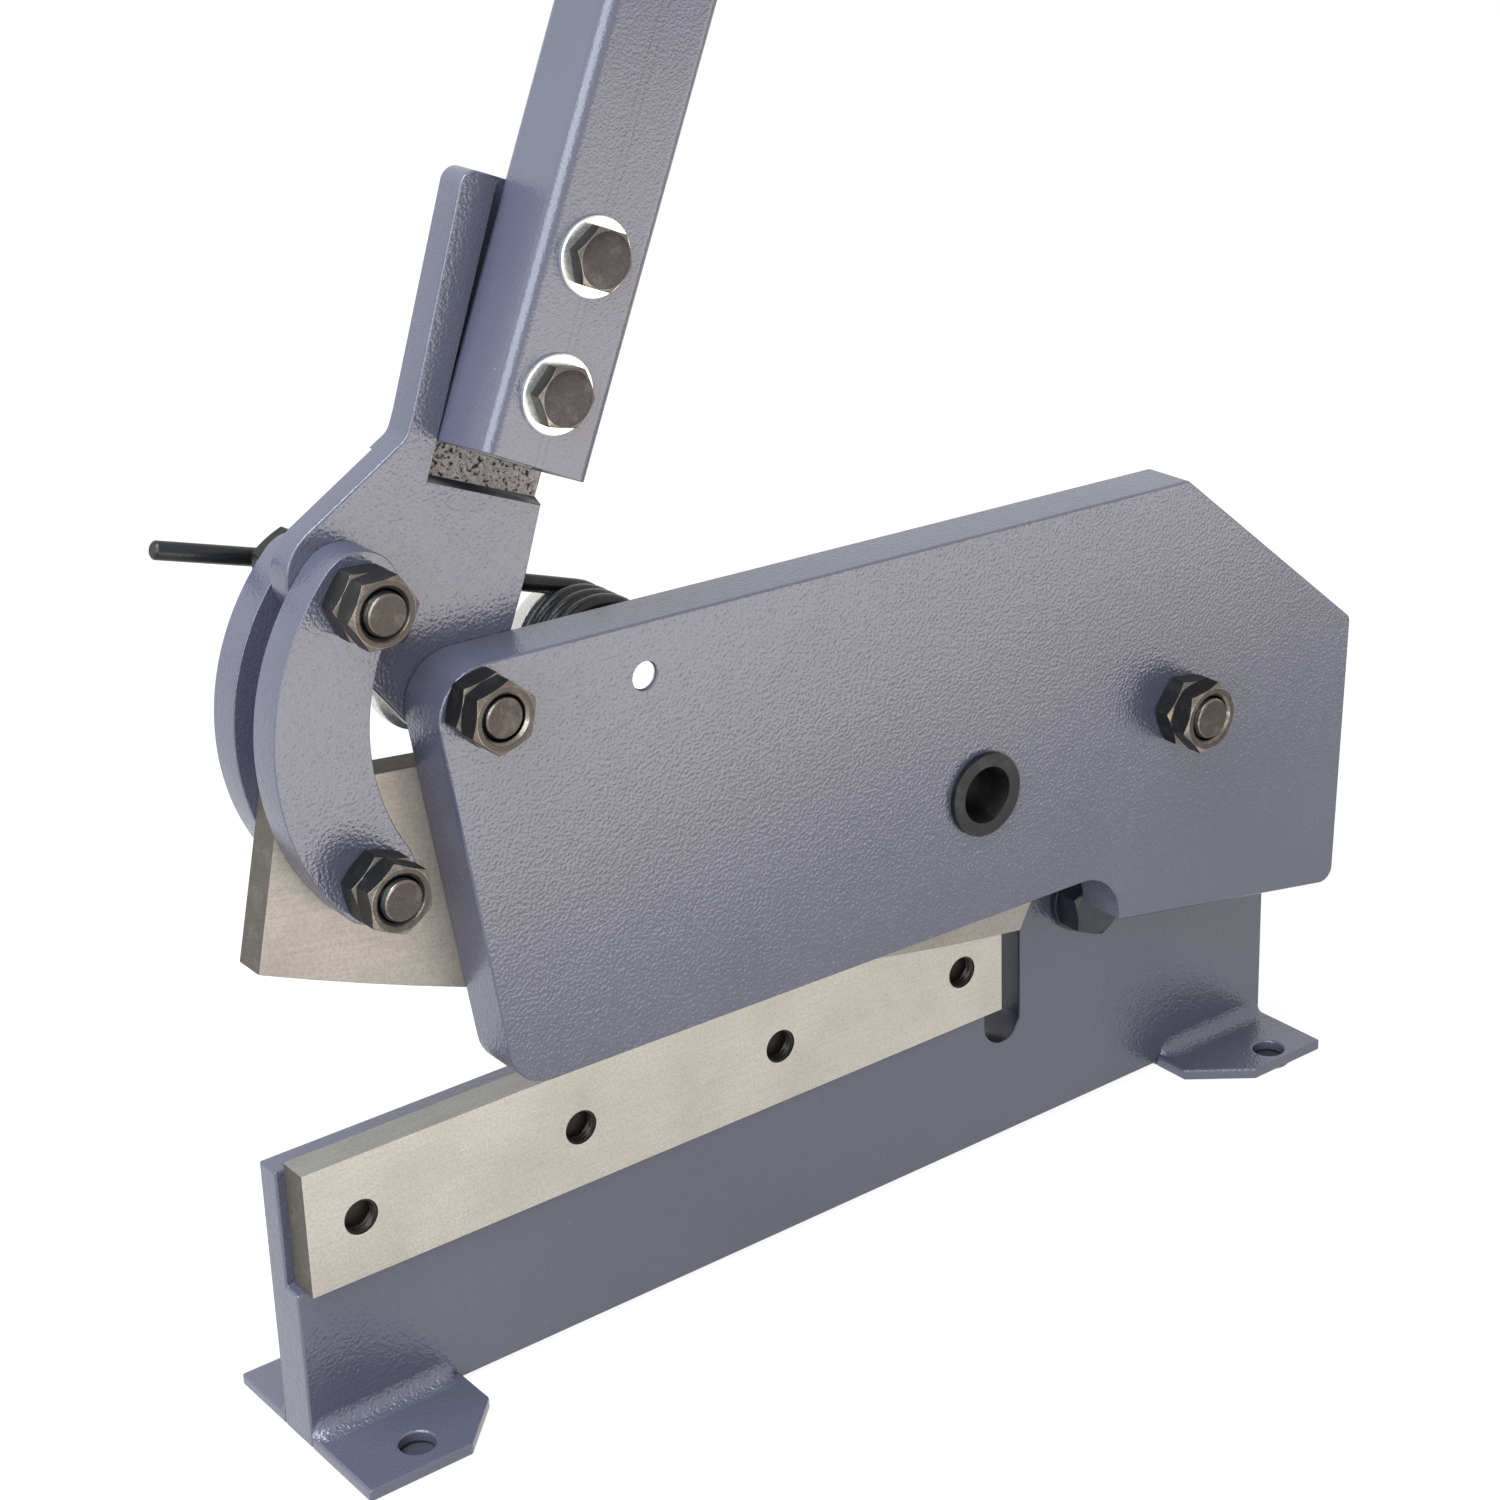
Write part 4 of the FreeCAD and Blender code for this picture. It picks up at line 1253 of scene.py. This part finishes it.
@dataclass(frozen=True)
class Spring:
    """Torsion spring wound as a helix, with the leg that follows the lever."""

    looks: Finishes
    wire: float = 6.0 * MM
    wire_sides: int = 20
    tip_rings: tuple[Pair, ...] = ((0.0, 0.72), (0.5 * MM, 0.93), (0.9 * MM, 1.0))
    coil: float = 17.3 * MM
    pitch: float = 6.3 * MM
    still_pitch: float = 6.05 * MM
    turns: float = 2.7
    leg_turns: float = 0.75
    steps: int = 40
    leg_angle: float = 163.0
    leg_bend: float = 100.0 * MM
    leg_tip: float = 147.0 * MM
    bend_mm: float = 6.0
    hub_edge: float = 0.4 * MM

    def build(self) -> None:
        """Makes the still coil, the leg with its part of a turn, and the hub."""
        low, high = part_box("spring_leg")
        axis = Bench.middle("spring_pin")
        leg_y = high.y - self.wire / 2.0
        ring_y = low.y + self.wire / 2.0
        start = math.radians(self.leg_angle)
        rise = self.leg_turns * self.pitch
        first_y = ring_y - rise / 2.0 - self.turns * self.pitch
        still = self.helix(axis, (start - math.tau * self.turns, start),
                           (first_y, first_y + self.turns * self.still_pitch))
        self.place_wire("spring_coil_wire", "spring_coil", still)
        last = self.helix(axis, (start, start + math.tau * self.leg_turns),
                          (ring_y - rise / 2.0, ring_y + rise / 2.0))
        root = Vector(last[-1])
        along = Vector((math.cos(start), 0.0, math.sin(start)))
        bend = root + along * self.leg_bend
        bend.y = leg_y
        tip = bend + along * (self.leg_tip - self.leg_bend)
        self.place_wire("spring_leg_wire", "spring_leg", last + self.softened(root, bend, tip))
        Bench.dress("spring_hub", "spring_bush", Slot.ZINC, self.looks.zinc, self.hub_edge)

    def helix(self, axis: Pair, angles: Pair, places: Pair) -> list[Point]:
        """Points of a helix about the spring's axis.

        Args:
            axis: Its x and z.
            angles: First and last angle.
            places: Y at the start and at the end.

        Returns:
            The points.
        """
        turned = angles[1] - angles[0]
        count = round(turned / math.tau * self.steps)
        shares = [i / count for i in range(count + 1)]
        return [(axis[0] + self.coil * math.cos(angles[0] + turned * share),
                 places[0] + (places[1] - places[0]) * share,
                 axis[1] + self.coil * math.sin(angles[0] + turned * share)) for share in shares]

    def softened(self, root: Vector, bend: Vector, tip: Vector) -> list[Point]:
        """Points from the root to the tip with a soft bend between."""
        before = bend + (root - bend).normalized() * self.bend_mm * MM
        after = bend + (tip - bend).normalized() * self.bend_mm * MM
        points = [root + (before - root) * share for share in (0.1, 0.4, 0.7, 1.0)]
        points += [before * (1 - t) ** 2 + bend * 2 * t * (1 - t) + after * t ** 2
                   for t in (0.25, 0.5, 0.75, 1.0)]
        return [tuple(point) for point in (*points, tip)]

    def place_wire(self, name: str, node: str, points: Sequence[Point]) -> None:
        """Makes a round wire along points, with rounded ends.

        Args:
            name: The piece's name.
            node: The CAD node that it stands for.
            points: Its centre line.
        """
        form = Form()
        rings = []
        last = len(points) - 1
        turns = [math.tau * k / self.wire_sides for k in range(self.wire_sides)]
        for i, point in enumerate(points):
            ahead = Vector(points[min(i + 1, last)]) - Vector(points[max(i - 1, 0)])
            ahead.normalize()
            side = ahead.cross(Vector((0.0, 1.0, 0.0))).normalized()
            up = side.cross(ahead)
            stations = [(0.0, 1.0)]
            if i == 0:
                stations = self.tip_rings
            elif i == last:
                stations = [(-run, share) for run, share in reversed(self.tip_rings)]
            for run, share in stations:
                middle = Vector(point) + ahead * run
                radius = self.wire / 2.0 * share
                rings.append(form.ring([tuple(middle + (side * math.cos(turn) + up * math.sin(turn)) * radius)
                                        for turn in turns]))
        form.tube(rings)
        Bench.place(name, form.mesh(name), [node], Slot.BLACK, [self.looks.spring])


@dataclass(frozen=True)
class Studio:
    """Camera, pale floor and soft light."""

    yaw: float = 38.06
    pitch: float = 20.79
    roll: float = -1.54
    eye: Point = (-0.60119, -0.76294, 0.59891)
    photo: int = 1500
    focal: float = 2965.75
    centre: Pair = (811.41, 631.26)
    sensor: float = 36.0
    far: float = 50.0
    floor_half: float = 12.0
    floor_drop: float = 0.5 * MM
    floor_share: float = 0.60
    floor_glow: float = 1.50
    floor_colour: float = 0.42
    sky_strength: float = 0.42
    key: tuple[Point, float, float] = ((-1.9, -1.1, 1.35), 2.3, 66.0)
    top: tuple[Point, float, float] = ((-1.0, -0.2, 2.6), 1.6, 74.0)
    aim: Point = (0.0, 0.0, 0.15)
    cool: Colour = (0.83, 0.93, 1.0)
    warm: Colour = (1.0, 0.93, 0.86)
    sheen_place: Point = (0.823, -1.330, 0.02)
    sheen_size: Pair = (2.5, 1.6)
    sheen_turn: float = -12.0
    sheen_power: float = 35.0
    hole_at: Pair = (202.75 * MM, 31.5 * MM)
    hole_shadow_reach: float = 8.0 * MM
    hole_shade: Colour = (0.06, 0.06, 0.075)

    def camera(self) -> None:
        """Places the camera at the viewing angle of the picture."""
        yaw, pitch, roll = (math.radians(a) for a in (self.yaw, self.pitch, self.roll))
        ahead = Vector((math.sin(yaw) * math.cos(pitch), math.cos(yaw) * math.cos(pitch), -math.sin(pitch)))
        level = Vector((math.cos(yaw), -math.sin(yaw), 0.0))
        upright = level.cross(ahead)
        right = math.cos(roll) * level + math.sin(roll) * upright
        up = math.cos(roll) * upright - math.sin(roll) * level
        data = bpy.data.cameras.new("camera")
        data.sensor_width = self.sensor
        data.sensor_fit = "HORIZONTAL"
        data.lens = self.focal / self.photo * self.sensor
        data.shift_x = (self.photo / 2 - self.centre[0]) / self.photo
        data.shift_y = (self.centre[1] - self.photo / 2) / self.photo
        data.clip_end = self.far
        camera = bpy.data.objects.new("camera", data)
        turn = Matrix((right, up, -ahead)).transposed().to_4x4()
        camera.matrix_world = Matrix.Translation(Vector(self.eye)) @ turn
        into_scene(camera)
        bpy.context.scene.camera = camera

    @staticmethod
    def lamp(name: str, place: Point, sides: Pair, power: float, colour: Colour,
             turn: Sequence[float]) -> bpy.types.Object:
        """Adds one soft lamp that the camera doesn't see.

        Args:
            name: The lamp's name.
            place: Where it hangs.
            sides: Both sides of the lamp.
            power: Light in watts.
            colour: Colour of the light.
            turn: Its rotation.

        Returns:
            The lamp.
        """
        data = bpy.data.lights.new(name, "AREA")
        data.shape = "RECTANGLE"
        data.size, data.size_y = sides
        data.energy = power
        data.color = colour
        lamp = bpy.data.objects.new(name, data)
        lamp.location = place
        lamp.rotation_euler = turn
        lamp.visible_camera = False
        into_scene(lamp)
        return lamp

    def floor(self) -> None:
        """Pale floor that keeps a light shadow, with a painted shadow under each foot hole."""
        nodes = NodeTree(bpy.data.materials.new("studio_floor"))
        outside = self.outside_hole_shadows(nodes)
        grey = (self.floor_colour, self.floor_colour, self.floor_colour)
        # Under the foot holes the floor is painted dark as shadow, without glow.
        paint = nodes.add("ShaderNodeBsdfDiffuse", Color=nodes.mix(outside, self.hole_shade, grey))
        glow = nodes.add("ShaderNodeEmission", Color=(1.0, 1.0, 1.0, 1.0), Strength=self.floor_glow)
        share = nodes.combine("MULTIPLY", nodes.seen_white(), self.floor_share)
        share = nodes.combine("MULTIPLY", share, outside)
        mixed = nodes.blend(share, paint.outputs[0], glow.outputs[0])
        nodes.add("ShaderNodeOutputMaterial", Surface=mixed)
        half = self.floor_half
        mesh = bpy.data.meshes.new("studio_floor")
        mesh.from_pydata([(-half, -half, 0), (half, -half, 0), (half, half, 0), (-half, half, 0)], [],
                         [(0, 1, 2, 3)])
        mesh.materials.append(nodes.owner)
        floor = bpy.data.objects.new("studio_floor", mesh)
        floor.location = (0.0, 0.0, -self.floor_drop)
        into_scene(floor)

    def outside_hole_shadows(self, nodes: NodeTree) -> Socket:
        """Socket that is 0 on the floor under the four foot holes, where a shadow is painted, and 1
        elsewhere.
        """
        where = nodes.coordinates()
        offs = []
        for name, middle in zip("XY", self.hole_at):
            off = nodes.combine("SUBTRACT", nodes.combine("ABSOLUTE", nodes.axis(where, name)), middle)
            offs.append(nodes.combine("MULTIPLY", off, off))
        away = nodes.combine("SQRT", nodes.combine("ADD", *offs))
        return nodes.ramp(away, (self.hole_shadow_reach, self.hole_shadow_reach + MM))

    def sky(self) -> None:
        """World that is white to the eye and plain as a light."""
        world = bpy.data.worlds.new("studio")
        bpy.context.scene.world = world
        nodes = NodeTree(world)
        light, white = (nodes.add("ShaderNodeBackground", Color=(1.0, 1.0, 1.0, 1.0), Strength=strength)
                        for strength in (self.sky_strength, 1.0))
        mixed = nodes.blend(nodes.seen_white(), light.outputs[0], white.outputs[0])
        nodes.add("ShaderNodeOutputWorld", Surface=mixed)

    def build(self) -> None:
        """Sets up camera, floor, sky and lamps."""
        bpy.context.scene.view_settings.view_transform = "Standard"
        self.camera()
        self.floor()
        self.sky()
        for name, (place, size, power) in (("key", self.key), ("top", self.top)):
            turn = (Vector(self.aim) - Vector(place)).to_track_quat("-Z", "Y").to_euler()
            self.lamp(name, place, (size, size), power, self.cool, turn)
        # The low panel only shows in the gloss of the paint.
        turn = (math.pi, 0.0, math.radians(self.sheen_turn))
        panel = self.lamp("sheen", self.sheen_place, self.sheen_size, self.sheen_power, self.warm, turn)
        panel.visible_diffuse = False


def main() -> None:
    """Builds the scene."""
    logging.basicConfig(level=logging.INFO)
    Studio().build()
    finishes = Finishes()
    for assembly in (Base, Cheek, MovingBlade, Lever, Handle, Spring, Pivots):
        assembly(finishes).build()
        LOG.info("built %s", assembly.__name__)


if __name__ == "__main__":
    main()
